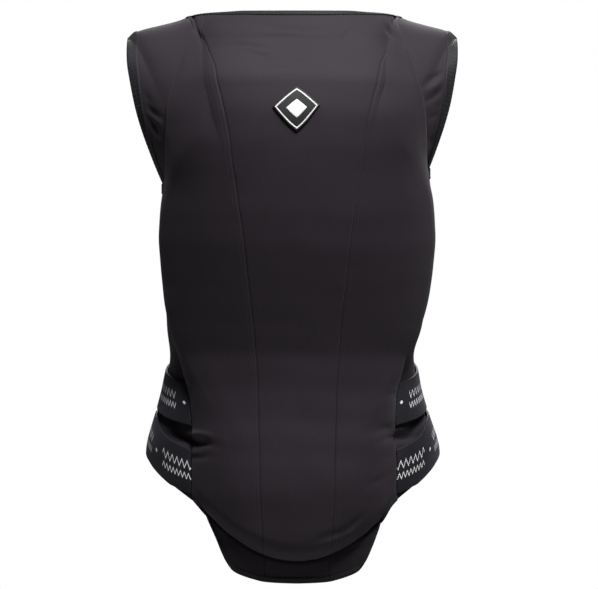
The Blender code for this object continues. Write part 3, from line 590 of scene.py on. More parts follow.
def directions(turn, rise):
    """Change of place for each unit of turn and of rise, and the outward normal."""
    step = 0.004
    high, low = np.minimum(rise + step, 2), np.maximum(rise - step, 0)
    by_turn = (form(turn + step, rise) - form(turn - step, rise)) / (2 * step)
    by_rise = (form(turn, high) - form(turn, low)) / (high - low)[..., None]
    normal = np.cross(by_turn, by_rise)
    normal /= np.linalg.norm(normal, axis=-1, keepdims=True)
    return by_turn, by_rise, normal


def surface(turn, rise, lift):
    """Points that stand lift metres out from the form."""
    turn, rise = np.broadcast_arrays(np.asarray(turn, float), np.asarray(rise, float))
    normal = directions(turn, rise)[2]
    return form(turn, rise) + normal * np.broadcast_to(lift, turn.shape)[..., None]


def moved_round(turn, rise, distance):
    """The turn that lies a distance further round."""
    return turn + distance / np.linalg.norm(directions(turn, rise)[0], axis=-1)


def moved_up(turn, rise, distance):
    """The rise that lies a distance further up."""
    return rise + distance / np.linalg.norm(directions(turn, rise)[1], axis=-1)


def local_half_width(side, height):
    """The body's half width at a height, held at the armpit's above it."""
    low = np.maximum(height, armpit_height(side, 1.0))
    return section("left" if side < 0 else "right", low) * CHEST_WIDTH / 2


def turn_at(side, rise, half_distance):
    """The turn behind where the form is half_distance(height) from the middle."""
    turn = side * np.full_like(rise, 0.5)
    for _ in range(14):
        x = half_distance(height_of(turn, rise))
        turn = side * quarter_at(x / half_width(turn, rise))
    return turn


def centre_seam(side, rise):
    """Turn of the seam beside the back's centre panel."""
    return turn_at(side, rise, lambda h: curve(SEAMS, "centre", "height", h) * CHEST_WIDTH / 2)


def outer_seam(side, rise):
    """Turn of the back's outer seam, which ends at the corner of the neck band."""
    seam = turn_at(
        side, rise, lambda h: curve(SEAMS, "outer", "height", h) * local_half_width(side, h)
    )
    corner = side * neck_corner(side, True)
    return seam + (corner - seam) * ease((rise - 2 + NECK_CORNER_BLEND) / NECK_CORNER_BLEND)


def neck_corner(side, behind):
    """Share of a quarter turn where the neck band's outer line meets the shoulder seam."""
    quarter = quarter_at(NECK_SHARE * across(armhole_quarter(1.0, behind)))
    along = quarter + np.array([0.01, 0.03])
    ends = form(side * (along if behind else 2 - along), 2.0)
    rate = np.linalg.norm(ends[1] - ends[0]) / 0.02
    return float(quarter + (NECK_BAND + BAND_GAP) / rate)


def armhole_lines(side):
    """The armhole's edge and the inner line of its band, over the back and under the arm.

    Both are rows of turn and rise from the shoulder seam behind to the one in front.
    """
    up = np.linspace(1, 0, 90) ** 1.8
    flat = np.linspace(-ARMHOLE_FLAT, ARMHOLE_FLAT, 13)[1:-1]
    back, front = armhole_quarter(up, True), 2 - armhole_quarter(up[::-1], False)
    turn = side * np.concatenate([back, 1 + flat, front])
    rise = 1 + np.concatenate([up, 0 * flat, up[::-1]])
    away = np.stack([side * np.sign(1 - np.abs(turn)), np.ones(len(turn))], axis=1)
    step = into_cloth(turn, rise, away)
    step[:, 1] *= 1 - ease((rise - 1.8) / 0.2)
    edge = np.stack([turn, rise], axis=1)
    return edge, edge + step * ARMHOLE_BAND


def armhole_corners(side):
    """Shares of a half turn where the band's inner line crosses the armpit's rise."""
    _, inner = armhole_lines(side)
    middle = np.argmin(inner[:, 1])
    behind, front = inner[:middle + 1][::-1], inner[middle:]
    turns = [np.interp(1.0, half[:, 1], np.abs(half[:, 0])) for half in (behind, front)]
    return turns[0], turns[1]


def armhole_turn(side, rise, behind):
    """Turn of the band's inner line at a rise above the armpit."""
    _, inner = armhole_lines(side)
    middle = np.argmin(inner[:, 1])
    half = inner[:middle + 1][::-1] if behind else inner[middle:]
    return np.interp(rise, half[:, 1], half[:, 0])


def armhole_rise(side, turn):
    """Rise of the band's inner line under the arm, and the armpit's rise beside it."""
    _, inner = armhole_lines(side)
    first, last = armhole_corners(side)
    keep = (np.abs(inner[:, 0]) > first) & (np.abs(inner[:, 0]) < last) & (inner[:, 1] < 1)
    return np.interp(np.abs(turn), np.abs(inner[keep, 0]), inner[keep, 1], 1.0, 1.0)


def front_seam(side, rise):
    """Turn of the seam between the side panel and the front panel."""
    last = armhole_corners(side)[1]
    return side * (last + SIDE_SEAM_SWEEP * (1 - np.clip(rise, 0, 1) ** 4))


def zip_turn(side, rise, half):
    """Turn at a distance from the centre of the front."""
    return side * (2 - quarter_at(half / half_width(side * np.full_like(rise, 1.9), rise)))


def pad_foot(x):
    """How far down from the neck edge the pad's lower edge is."""
    return VEST_LENGTH - PAD_FOOT_MARGIN - PAD_FOOT_RISE * (x / PAD_FOOT_WIDTH) ** 2


def fold_lift(turn, rise):
    """Folds and creases: each a ridge across its width that dies out along its length."""
    turn, rise = np.broadcast_arrays(np.asarray(turn, float), np.asarray(rise, float))
    side, behind, quarter = parts_of(turn)
    girth = np.where(behind, quarter, 2 - quarter) * QUARTER_GIRTH
    down = height_of(turn, rise) * VEST_LENGTH
    total = np.zeros(turn.shape)
    for fold in FOLDS:
        u = girth - fold.turn * QUARTER_GIRTH
        v = down - fold.height * VEST_LENGTH
        c, s = math.cos(math.radians(fold.slope)), math.sin(math.radians(fold.slope))
        along, across_it = u * c - v * s, u * s + v * c
        bump = np.exp(-((2 * along / fold.length) ** 2) - (across_it / fold.width) ** 2)
        total += np.where(side == fold.side, fold.depth * bump, 0.0)
    return total


def into_cloth(turn, rise, away):
    """Steps in turn and rise for a metre into the cloth, square to the edge.

    away is a step in turn and rise that points off the cloth at each point.
    """
    by_turn, by_rise, normal = directions(turn, rise)
    path = np.gradient(form(turn, rise), axis=0)
    path /= np.linalg.norm(path, axis=1, keepdims=True)
    square = np.cross(normal, path)
    square /= np.linalg.norm(square, axis=1, keepdims=True)
    off = by_turn * away[:, :1] + by_rise * away[:, 1:]
    square *= -np.sign(np.sum(square * off, axis=1, keepdims=True))
    a, b = np.sum(by_turn**2, axis=1), np.sum(by_turn * by_rise, axis=1)
    c = np.sum(by_rise**2, axis=1)
    p, q = np.sum(square * by_turn, axis=1), np.sum(square * by_rise, axis=1)
    spread = a * c - b * b
    return np.stack([(p * c - q * b) / spread, (q * a - p * b) / spread], axis=1)


def rolled(share):
    """A quarter round: 0 at 0, upright there, and level at 1 and beyond."""
    return np.sqrt(1 - (1 - np.clip(share, 0, 1)) ** 2)


def cover_pad_lift(turn, rise):
    """The pad's height with a rolled edge at its foot and along its outer seams."""
    turn, rise = np.broadcast_arrays(np.asarray(turn, float), np.asarray(rise, float))
    side = parts_of(turn)[0]
    height = height_of(turn, rise)
    x = np.abs(form(turn, rise)[..., 0])
    body = np.where(side < 0, local_half_width(-1, height), local_half_width(1, height))
    outer = curve(SEAMS, "outer", "height", height) * body
    ridge = curve(SEAMS, "ridge", "height", height) * body
    down = height * VEST_LENGTH
    up_from_foot = pad_foot(x) - down
    sides = ramp((outer - x) / (outer - ridge))
    top = ease((down - PAD_TOP_START) / PAD_TOP_SLOPE)
    bottom = ramp(up_from_foot / PAD_FOOT_SLOPE)
    edge = PAD_EDGE * ease(down / PAD_TOP_START) * rolled(up_from_foot / PAD_ROLL)
    groove = FOOT_GROOVE * np.exp(-((up_from_foot / FOOT_GROOVE_WIDTH) ** 2))
    return edge + (PAD_THICKNESS - PAD_EDGE) * sides * top * bottom - groove


def crease_lift(points):
    """Sum of the small creases: a bell across each, dying out along it, behind only."""
    x, down = points[..., 0] / MM, (SHOULDER_SLOPE - points[..., 2]) / MM
    total = np.zeros(x.shape)
    for crease in CREASES:
        u, v = x - crease.x, down - crease.down
        c, s = math.cos(math.radians(crease.slope)), math.sin(math.radians(crease.slope))
        along, across_it = u * c + v * s, v * c - u * s
        bend = 0.12 * along * np.sin(along / crease.length * 2.2 + crease.x)
        shape = np.exp(-((2 * along / crease.length) ** 2))
        total += crease.depth * MM * shape * np.exp(-(((across_it - bend) / crease.width) ** 2))
    return np.where(points[..., 1] < 0.02, total, 0.0)


def ripple_lift(points, phase=0.0):
    """Faint level waves of cloth, each a sine across the rows that drifts along them."""
    x, z = points[..., 0], points[..., 2]
    drift = 1.7 * np.sin(x / RIPPLE_LENGTH + phase) + 0.9 * np.sin(x / RIPPLE_LENGTH * 2.3 - 1.1)
    rows = np.sin(z / RIPPLE_WIDTH + drift) * np.sin(z / RIPPLE_WIDTH / 2.7 - drift * 0.6 + phase)
    return RIPPLE_DEPTH * rows


def lengths(points, axis):
    """Distance run along the rows or the columns of a grid of points."""
    step = np.linalg.norm(np.diff(points, axis=axis), axis=-1)
    start = np.zeros_like(np.take(step, [0], axis=axis))
    return np.concatenate([start, np.cumsum(step, axis=axis)], axis=axis)


def add_mesh(name, points, quads, uv, materials, which=None):
    """A smooth mesh from points, quads, a UV in metres for each point, and materials."""
    mesh = bpy.data.meshes.new(name)
    mesh.vertices.add(len(points))
    mesh.vertices.foreach_set("co", np.asarray(points, np.float32).ravel())
    mesh.loops.add(quads.size)
    mesh.loops.foreach_set("vertex_index", quads.ravel().astype(np.int32))
    mesh.polygons.add(len(quads))
    mesh.polygons.foreach_set("loop_start", np.arange(0, quads.size, 4, dtype=np.int32))
    for made in materials:
        mesh.materials.append(made)
    if which is not None:
        mesh.polygons.foreach_set("material_index", which.astype(np.int32))
    layer = mesh.uv_layers.new(name=CLOTH_MAP)
    layer.data.foreach_set("uv", uv[quads.ravel()].astype(np.float32).ravel())
    mesh.update(calc_edges=True)
    mesh.shade_smooth()
    mesh.set_sharp_from_angle(angle=math.radians(55))
    piece = bpy.data.objects.new(name, mesh)
    bpy.context.scene.collection.objects.link(piece)
    return piece


def grid_quads(rows, columns, start=0):
    """Quads of a grid of points, row by row, facing turn x rise."""
    first = np.arange(rows * columns).reshape(rows, columns)[:-1, :-1].ravel() + start
    return np.stack([first, first + 1, first + 1 + columns, first + columns], axis=1)


def armpit_rounded(points, rise):
    """Points with the form's level bend at the armpit rounded off, except at the seams.

    Near the armpit each point moves towards a running mean of the rows above and below.
    """
    near = np.exp(-(((rise - 1) / ARMPIT_REACH) ** 2))
    across_it = lengths(points, 1)
    edge = np.minimum(across_it, across_it[:, -1:] - across_it)
    share = near * ease(edge / ARMPIT_FADE)
    return points + (smoothed(points, 0, ARMPIT_ROWS) - points) * share[..., None]


def add_wall(name, turn, rise, outer, inner, materials, rounded=False):
    """A closed wall between two lifts; the lining takes the last of the materials."""
    rows, columns = turn.shape
    count = rows * columns
    faces = [surface(turn, rise, outer), surface(turn, rise, inner)]
    if rounded:
        faces = [armpit_rounded(points, rise) for points in faces]
    index = np.arange(count).reshape(rows, columns)
    quads = [grid_quads(rows, columns), grid_quads(rows, columns, count)[:, ::-1]]
    rims = ((index[0], 1), (index[-1], -1), (index[:, -1], 1), (index[:, 0], -1))
    for line, turned in rims:
        low, high = line[:-1], line[1:]
        quads.append(np.stack([high, low, low + count, high + count], axis=1)[:, ::turned])
    lined = np.concatenate([np.full(len(q), i == 1) for i, q in enumerate(quads)])
    across_it, up = lengths(faces[0], 1), lengths(faces[0], 0)
    across_it = across_it - across_it[:, -1:] / 2
    uv = np.stack([across_it, up], axis=-1).reshape(-1, 2)
    return add_mesh(
        name,
        np.concatenate([f.reshape(-1, 3) for f in faces]),
        np.concatenate(quads),
        np.concatenate([uv, uv]),
        materials,
        lined * (len(materials) - 1),
    )


def cut_size(turn, rise):
    """Width, length and area of a panel laid flat, in metres."""
    points = form(turn, rise)
    width, length = lengths(points, 1)[:, -1].max(), lengths(points, 0)[-1].max()
    one = np.cross(points[1:, 1:] - points[:-1, :-1], points[1:, :-1] - points[:-1, 1:])
    return (float(width), float(length)), float(np.linalg.norm(one, axis=-1).sum() / 2)


def seam_dip(turn, rise, ends=False):
    """Roll of a panel's side edges, and its ends too, down into the seams."""
    points = form(turn, rise)
    across_it, up = lengths(points, 1), lengths(points, 0)
    away = [across_it, across_it[:, -1:] - across_it]
    if ends:
        away += [up, up[-1:] - up]
    return -SEAM_DIP * np.max([1 - rolled(distance / SEAM_ROLL) for distance in away], axis=0)


def spread_turns(low, high, shares):
    """Turns between two edges, a row for each rise and a column for each share."""
    return low[:, None] + (high - low)[:, None] * np.asarray(shares)[None, :]


def fitted(turn, rise, bottom, top):
    """The rows' rises, squeezed to start at bottom and end at top in each column."""
    share = (rise - rise[0]) / (rise[-1] - rise[0])
    return bottom + (top - bottom) * np.broadcast_to(share[:, None], turn.shape)


def close_at_ends(count, tightness=0.55):
    """Shares from 0 to 1 that lie closer together towards both ends."""
    even = np.linspace(0, 1, count)
    return even - tightness * np.sin(2 * math.pi * even) / (2 * math.pi)


def neck_top(turn):
    """Rise of the panels' upper edge under the neck band."""
    return moved_up(turn, np.full(len(turn), 2.0), -NECK_BAND * UNDER_TAPE)


def back_rises(turn):
    """Rises of the padded panels' rows, closest where the pad's foot rolls under."""
    turn = turn[0]
    bottom = moved_up(turn, np.zeros(len(turn)), TAIL_BAND * UNDER_TAPE)
    side, _, quarter = parts_of(turn)
    hem, pit = curve(HEM, "height", "turn", quarter), armpit_height(side, quarter)
    foot = pad_foot(form(turn, bottom)[:, 0]) / VEST_LENGTH
    lip = np.maximum((hem - foot) / (hem - pit), bottom + 0.015)
    slope = PAD_FOOT_SLOPE / VEST_LENGTH / (hem - pit)
    tail = bottom + (lip - bottom) * np.linspace(0, 1, 22)[:, None]
    bevel = lip + slope * (np.linspace(0, 1, 25)[1:, None] ** 1.7)
    hips = bevel[-1] + (WAIST_RISE - bevel[-1]) * np.linspace(0, 1, 50)[1:, None]
    body = np.linspace(WAIST_RISE, 1, 120)[1:]
    upper = 1 + np.linspace(0, 1, 110)[1:] ** 1.1
    return np.concatenate([tail, bevel, hips, np.concatenate([body, upper])[:, None] + 0 * turn])


def back_grid(inner_seam, outer_seam, shares):
    """Turns and rises of a padded panel between two seams."""
    start = np.array([0.0])
    turn = spread_turns(inner_seam(start), outer_seam(start), shares)
    for _ in range(2):
        rise = back_rises(turn)
        turn = spread_turns(inner_seam(rise[:, 0]), outer_seam(rise[:, -1]), shares)
    rise[-12:] = rise[-12] + (neck_top(turn[-1]) - rise[-12]) * np.linspace(0, 1, 12)[:, None]
    return turn, rise


def side_back_grid(side):
    """The padded panel between the centre seam and the outer seam of one side."""
    turn, rise = back_grid(
        lambda rise: centre_seam(side, rise), lambda rise: outer_seam(side, rise), close_at_ends(64)
    )
    return turn[:, ::side], rise[:, ::side]


def centre_back_grid():
    """The padded panel between the two centre seams."""
    return back_grid(
        lambda rise: centre_seam(-1, rise), lambda rise: centre_seam(1, rise), close_at_ends(90)
    )


def shoulder_grid(side):
    """The thin panel from the outer seam to the armhole tape, above the armpit."""
    rise = 1 + np.linspace(0, 1, 110) ** 1.1
    inner, armhole = outer_seam(side, rise), armhole_turn(side, rise, True)
    turn = spread_turns(inner, armhole, close_at_ends(56))
    return turn[:, ::side], fitted(turn, rise, 1.0, 2.0)[:, ::side]


def side_grid(side):
    """The thin panel under the arm, from the outer seam to the front seam."""
    rise = np.linspace(0, 1, 170)
    inner, outer = outer_seam(side, rise), front_seam(side, rise)
    first = armhole_corners(side)[0]
    split = (first - abs(inner[-1])) / (abs(outer[-1]) - abs(inner[-1]))
    shares = np.concatenate([np.linspace(0, split, 16), np.linspace(split, 1, 50)[1:]])
    turn = spread_turns(inner, outer, shares)
    top = armhole_rise(side, turn[-1])
    return turn[:, ::side], fitted(turn, rise, np.zeros(len(shares)), top)[:, ::side]


def front_grid(side):
    """The front panel from the side seam and armhole tape to the zip and neck tape."""
    nominal = np.concatenate([np.linspace(0, 1, 120), 1 + np.linspace(0, 1, 80)[1:] ** 1.1])
    corner = 2 - neck_corner(side, False)
    towards_zip = np.linspace(0, 1, 50)[1:] ** 1.2
    first = last = nominal
    for _ in range(3):
        low = first <= 1
        outer = np.concatenate([front_seam(side, first[low]), armhole_turn(side, first[~low], False)])
        inner = zip_turn(side, last, ZIP_WIDTH / 2)
        split = (corner - abs(outer[-1])) / (abs(inner[-1]) - abs(outer[-1]))
        shares = np.linspace(0, split, FRONT_SPLIT)
        shares = np.concatenate([shares, split + (1 - split) * towards_zip])
        turn = spread_turns(outer, inner, shares)
        top = neck_top(turn[-1])
        top[:FRONT_SPLIT] = 2.0
        rise = fitted(turn, nominal, np.zeros(len(shares)), top)
        first, last = rise[:, 0], rise[:, -1]
    return turn[:, ::side], rise[:, ::side]


def strap_grid(side, line):
    """Turns and rises of a waist strap, from the back's outer seam to the front."""
    along = np.linspace(0, 1, 220)[None, :]
    cross = np.concatenate([[1, 0.985], np.linspace(0.96, -0.96, 31), [-0.985, -1]])[:, None]
    middle = curve(STRAPS, line, "along", along)
    climb = np.gradient(middle[0] * VEST_LENGTH, along[0] * QUARTER_GIRTH * 1.5)
    reach = STRAP_WIDTH / 2 * np.hypot(1, climb) / VEST_LENGTH
    height = middle + cross * reach
    first = curve(SEAMS, "outer", "height", height) * local_half_width(side, height)
    begin = quarter_at(first / local_half_width(side, height))
    finish = 2 - quarter_at(STRAP_END / local_half_width(side, height))
    turn = begin + (finish - begin) * along
    _, behind, quarter = parts_of(turn)
    rise = np.clip(body_rise(side, behind, quarter, height), 0, 1)
    turn = side * turn
    turn[:, 0] = moved_round(turn[:, 0], rise[:, 0], side * STRAP_START)
    return turn[:, ::side], rise[:, ::side]


def tab_grid(line):
    """Turns and rises of a fastening tab across the zip."""
    height = STRAP_WIDTH - 2 * TAB_MARGIN
    middle = curve(STRAPS, line, "along", 1.0)
    place = np.linspace(-TAB_LENGTH / 2, TAB_LENGTH / 2, 121)[None, :]
    cross = np.linspace(height / 2, -height / 2, 41)[:, None]
    share = middle + (cross + 0 * place) / VEST_LENGTH
    body = np.where(place < 0, local_half_width(1, share), local_half_width(-1, share))
    turn = 2 + np.sign(place) * quarter_at(np.abs(place) / body)
    side, _, quarter = parts_of(turn)
    return turn, body_rise(side, False, quarter, share)


def resampled(lines, count):
    """Lines of turns and rises with their stations spread evenly along the first one."""
    run = lengths(form(lines[0][:, 0], lines[0][:, 1])[None], 1)[0]
    at = np.linspace(0, run[-1], count)
    return [np.stack([np.interp(at, run, column) for column in line.T], axis=1) for line in lines]


def armhole_band_lines(side):
    """Edge and inner line of an armhole tape, with even stations."""
    edge, inner = armhole_lines(side)
    return [line[::side] for line in resampled([edge, inner], 420)]


def neck_band_lines():
    """Edge and inner line of the neck tape, from one side of the zip round the back."""
    zip_edge = float(zip_turn(1, np.array([2.0]), ZIP_WIDTH / 2)[0])
    front, back = np.linspace(0, 1, 90), np.linspace(-1, 1, 260)[1:-1]

    def turns(corner):
        """Turns along the neck, with a corner in front and one behind on each side."""
        run = zip_edge + (2 - corner(False) - zip_edge) * front
        return np.concatenate([-run, corner(True) * back, run[::-1]])

    tips = turns(lambda behind: quarter_at(NECK_SHARE * across(armhole_quarter(1.0, behind))))
    turn = turns(lambda behind: neck_corner(1, behind))
    share = np.concatenate([front, np.abs(back), front[::-1]])
    low = moved_up(turn, np.full(len(turn), 2.0), -NECK_BAND)
    rise = low + (2 - low) * ease((share - 1 + NECK_TUCK) / NECK_TUCK)
    return np.stack([tips, np.full(len(tips), 2.0)], axis=1), np.stack([turn, rise], axis=1)


def tail_band_lines():
    """Edge and inner line of the tail's tape, between the back's outer seams."""
    ends = [float(outer_seam(side, np.zeros(1))[0]) for side in (-1, 1)]
    turn = np.linspace(*ends, 240)
    edge = np.stack([turn, np.zeros(240)], axis=1)
    inner = np.stack([turn, moved_up(turn, np.zeros(240), TAIL_BAND)], axis=1)
    return edge[::-1], inner[::-1]


def add_band(name, edge, inner, lift, material, closed=False):
    """Tape folded over an edge: a rounded face in front, the fold, and a face behind.

    front holds shares of the width from the fold to the hem, and out how proud the face
    stands there; the last one is tucked under the hem.
    """
    front = np.array([0.0, 0.03, 0.08, 0.16, 0.28, 0.42, 0.56, 0.70, 0.82, 0.91, 0.97, 1.0, 1.0])
    out = 0.25 + 0.75 * rolled(front / 0.16) * (0.55 + 0.45 * rolled((1 - front) / 0.10))
    out[-1] = -0.35
    shares = np.concatenate([front, front[::-1]])
    proud = np.concatenate([out, -out[::-1] * 0.6]) * BINDING_THICKNESS
    behind = np.concatenate([np.zeros(len(front)), np.full(len(front), CLOTH)])
    station = lengths(form(edge[:, 0], edge[:, 1])[None], 1)[0]
    pucker = 1 + BAND_PUCKER * np.sin(station / STITCH_LENGTH * 2 * math.pi / 1.5)
    rings = []
    for share, height, depth in zip(shares, proud, behind):
        turn, rise = (edge + (inner - edge) * share * BAND_OVER).T
        rings.append(surface(turn, np.minimum(rise, 2), lift + height * pucker - depth))
    points = np.stack(rings, axis=1)
    count, ring = points.shape[:2]
    if closed:
        points[0] = points[-1] = (points[0] + points[-1]) / 2
    around = np.arange(ring)
    first = np.arange(count - 1)[:, None] * ring + around
    following = np.arange(count - 1)[:, None] * ring + np.roll(around, -1)
    quads = np.stack([first, following, following + ring, first + ring], axis=-1).reshape(-1, 4)
    if not closed:
        half = ring // 2
        a = np.arange(half - 1)
        cap = np.stack([a, a + 1, ring - 2 - a, ring - 1 - a], axis=1)
        quads = np.concatenate([quads, cap[:, ::-1], cap + (count - 1) * ring])
    uv = np.stack(np.broadcast_arrays(station[:, None], shares * TAPE_UV_WIDTH), axis=-1)
    piece = add_mesh(name, points.reshape(-1, 3), quads, uv.reshape(-1, 2), [material])
    if closed:
        weld(piece)
    return piece


def weld(piece):
    """Merges the doubled ring where a closed band meets itself."""
    made = bmesh.new()
    made.from_mesh(piece.data)
    bmesh.ops.remove_doubles(made, verts=made.verts, dist=0.00001)
    made.to_mesh(piece.data)
    made.free()


def stitch_points(edge, inner, share, lift):
    """Places, directions and normals of stitches along a line between two lines."""
    turn, rise = (edge + (inner - edge) * share).T
    points, normal = surface(turn, rise, lift), directions(turn, rise)[2]
    run = lengths(points[None], 1)[0]
    at = np.arange(STITCH_LENGTH, run[-1] - STITCH_LENGTH, STITCH_LENGTH)
    place = np.stack([np.interp(at, run, column) for column in points.T], axis=1)
    ahead = np.stack([np.interp(at + 0.0005, run, column) for column in points.T], axis=1)
    up = np.stack([np.interp(at, run, column) for column in normal.T], axis=1)
    return place, ahead - place, up


def add_stitches(name, rows, material):
    """Stitches: each a short capsule along the seam, bowed out of the cloth at its middle."""
    place, along, up = (np.concatenate(parts) for parts in zip(*rows))
    along /= np.linalg.norm(along, axis=1, keepdims=True)
    across_it = np.cross(up, along)
    t = np.linspace(-1, 1, 5)
    angle = np.arange(6) * math.pi / 3
    thin = THREAD_RADIUS * np.array([0.35, 0.9, 1.0, 0.9, 0.35])
    bow = THREAD_RADIUS * (0.5 - 1.3 * t**2)
    reach = STITCH_LENGTH * STITCH_SHARE / 2 * t
    ring = thin[:, None, None] * (
        np.cos(angle)[None, :, None] * across_it[:, None, None, :]
        + np.sin(angle)[None, :, None] * up[:, None, None, :]
    )
    middle = place[:, None, :] + along[:, None, :] * reach[:, None] + up[:, None, :] * bow[:, None]
    points = middle[:, :, None, :] + ring
    index = np.arange(30).reshape(5, 6)
    following = np.roll(index, -1, 1)
    body = np.stack([index[:-1], following[:-1], following[1:], index[1:]], axis=-1)
    caps = np.array([[0, 3, 2, 1], [0, 5, 4, 3], [24, 25, 26, 27], [24, 27, 28, 29]])
    one = np.concatenate([body.reshape(-1, 4), caps])
    quads = (one + np.arange(len(place))[:, None, None] * index.size).reshape(-1, 4)
    points = points.reshape(-1, 3)
    return add_mesh(name, points, quads, points[:, :2], [material])


def swell(turn, rise, lift, hold):
    """Swelling of a padded cover in metres, by cloth simulation of the cover alone.

    The cover is held at its seams and where hold is 1, pressed out from inside, and how
    far each point moves along its normal is capped and smoothed.
    """
    rows = np.unique(np.linspace(0, turn.shape[0] - 1, SWELL_ROWS).astype(int))
    columns = np.unique(np.linspace(0, turn.shape[1] - 1, SWELL_COLUMNS).astype(int))
    some = np.ix_(rows, columns)
    points = surface(turn[some], rise[some], lift[some])
    shape = turn[some].shape
    flat = points.reshape(-1, 3)
    cover = add_mesh("cover_simulated", flat, grid_quads(*shape), flat[:, :2], [])
    kept = hold[some].copy()
    kept[:, [0, -1]] = kept[[0, -1]] = 1
    group = cover.vertex_groups.new(name="held")
    for weight in np.linspace(0.1, 1, 10):
        chosen = np.flatnonzero(np.abs(kept.ravel() - weight) < 0.05)
        group.add(chosen.tolist(), float(weight), "REPLACE")
    cloth = cover.modifiers.new("Cloth", "CLOTH")
    settings = cloth.settings
    settings.vertex_group_mass = "held"
    settings.use_pressure = True
    settings.uniform_pressure_force = SWELL_PRESSURE
    settings.effector_weights.gravity = 0
    settings.tension_stiffness = settings.compression_stiffness = 40
    settings.bending_stiffness = 2
    scene = bpy.context.scene
    for step in range(1, SWELL_STEPS + 1):
        scene.frame_set(step)
    seen = cover.evaluated_get(bpy.context.evaluated_depsgraph_get())
    moved = np.empty(len(seen.data.vertices) * 3, np.float32)
    seen.data.vertices.foreach_get("co", moved)
    scene.frame_set(1)
    bpy.data.objects.remove(cover)
    out = (moved.reshape(*shape, 3) - points) * directions(turn[some], rise[some])[2]
    out = np.clip(out.sum(axis=-1), -SWELL_LIMIT, SWELL_LIMIT)
    fine = np.array([np.interp(np.arange(turn.shape[1]), columns, line) for line in out])
    fine = np.array([np.interp(np.arange(turn.shape[0]), rows, line) for line in fine.T]).T
    return smoothed(smoothed(fine, 0, 4), 1, 3)


def smoothed(field, axis, reach):
    """Running mean of a grid along an axis, with its ends held."""
    for _ in range(2):
        padded = np.concatenate([
            np.repeat(np.take(field, [0], axis), reach, axis),
            field,
            np.repeat(np.take(field, [-1], axis), reach, axis),
        ], axis=axis)
        total = np.cumsum(padded, axis=axis)
        total = np.concatenate([np.zeros_like(np.take(total, [0], axis)), total], axis=axis)
        width = 2 * reach + 1
        count = field.shape[axis]
        high = np.take(total, np.arange(width, width + count), axis)
        field = (high - np.take(total, np.arange(count), axis)) / width
    return field


def linear(code):
    """An sRGB hex colour as linear red, green and blue."""
    parts = [int(code[i:i + 2], 16) / 255 for i in (1, 3, 5)]
    return tuple(p / 12.92 if p <= 0.04045 else ((p + 0.055) / 1.055) ** 2.4 for p in parts)


def add_node(tree, kind, links=None, **settings):
    """Adds a node; links maps its inputs to values or to other nodes' outputs."""
    made = tree.nodes.new(kind)
    for key, value in settings.items():
        setattr(made, key, value)
    for key, value in (links or {}).items():
        if isinstance(value, bpy.types.NodeSocket):
            tree.links.new(value, made.inputs[key])
        else:
            made.inputs[key].default_value = value
    return made


def calc(tree, operation, *values, clamp=False):
    """The result of a Math node on values and sockets."""
    links = dict(enumerate(values))
    return add_node(tree, "ShaderNodeMath", links, operation=operation, use_clamp=clamp).outputs[0]


def start_material(name, colour, roughness, specular, sheen=0.0, sheen_tint=(1, 1, 1)):
    """A material with a Principled shader whose even values are set on its sockets."""
    old = bpy.data.materials.get(name)
    if old:
        bpy.data.materials.remove(old)
    made = bpy.data.materials.new(name)
    made.use_nodes = True
    shader = made.node_tree.nodes["Principled BSDF"]
    shader.inputs["Base Color"].default_value = (*colour, 1)
    shader.inputs["Roughness"].default_value = roughness
    shader.inputs["Specular IOR Level"].default_value = specular
    shader.inputs["Sheen Weight"].default_value = sheen
    shader.inputs["Sheen Roughness"].default_value = 0.5
    shader.inputs["Sheen Tint"].default_value = (*sheen_tint, 1)
    return made, made.node_tree, shader


def flat_map(tree):
    """The piece's own map, in metres along and across the cloth."""
    uv = add_node(tree, "ShaderNodeUVMap", uv_map=CLOTH_MAP).outputs["UV"]
    split = add_node(tree, "ShaderNodeSeparateXYZ", {"Vector": uv})
    return split.outputs["X"], split.outputs["Y"]


def wave(tree, along, pitch):
    """A sine from 0 to 1 that repeats every pitch metres."""
    turned = calc(tree, "MULTIPLY", along, 2 * math.pi / pitch)
    return calc(tree, "MULTIPLY_ADD", calc(tree, "SINE", turned), 0.5, 0.5)


def shade(tree, shader, colour, height, depth, variation):
    """Links a colour that varies by a factor, and a bump of a depth in metres."""
    factor = calc(tree, "MULTIPLY_ADD", variation[0], variation[1], 1 - variation[1] / 2)
    links = {0: colour, "Scale": factor}
    mixed = add_node(tree, "ShaderNodeVectorMath", links, operation="SCALE")
    tree.links.new(mixed.outputs[0], shader.inputs["Base Color"])
    bump = add_node(tree, "ShaderNodeBump", {"Height": height, "Distance": depth, "Strength": 0.7})
    tree.links.new(bump.outputs["Normal"], shader.inputs["Normal"])


def add_mark(tree, shader, mask, mark):
    """Puts the mark's colour over the shader's own colour where the mask is 1."""
    base = shader.inputs["Base Color"]
    links = {0: mask, 6: base.links[0].from_socket, 7: (*mark, 1)}
    mixed = add_node(tree, "ShaderNodeMix", links, data_type="RGBA")
    tree.links.new(mixed.outputs[2], base)


def cloud(tree, size, detail=3.0):
    """Noise from 0 to 1 with blots of a size in metres."""
    vector = add_node(tree, "ShaderNodeTexCoord").outputs["Object"]
    links = {"Vector": vector, "Scale": 1 / size, "Detail": detail}
    return add_node(tree, "ShaderNodeTexNoise", links).outputs["Fac"]


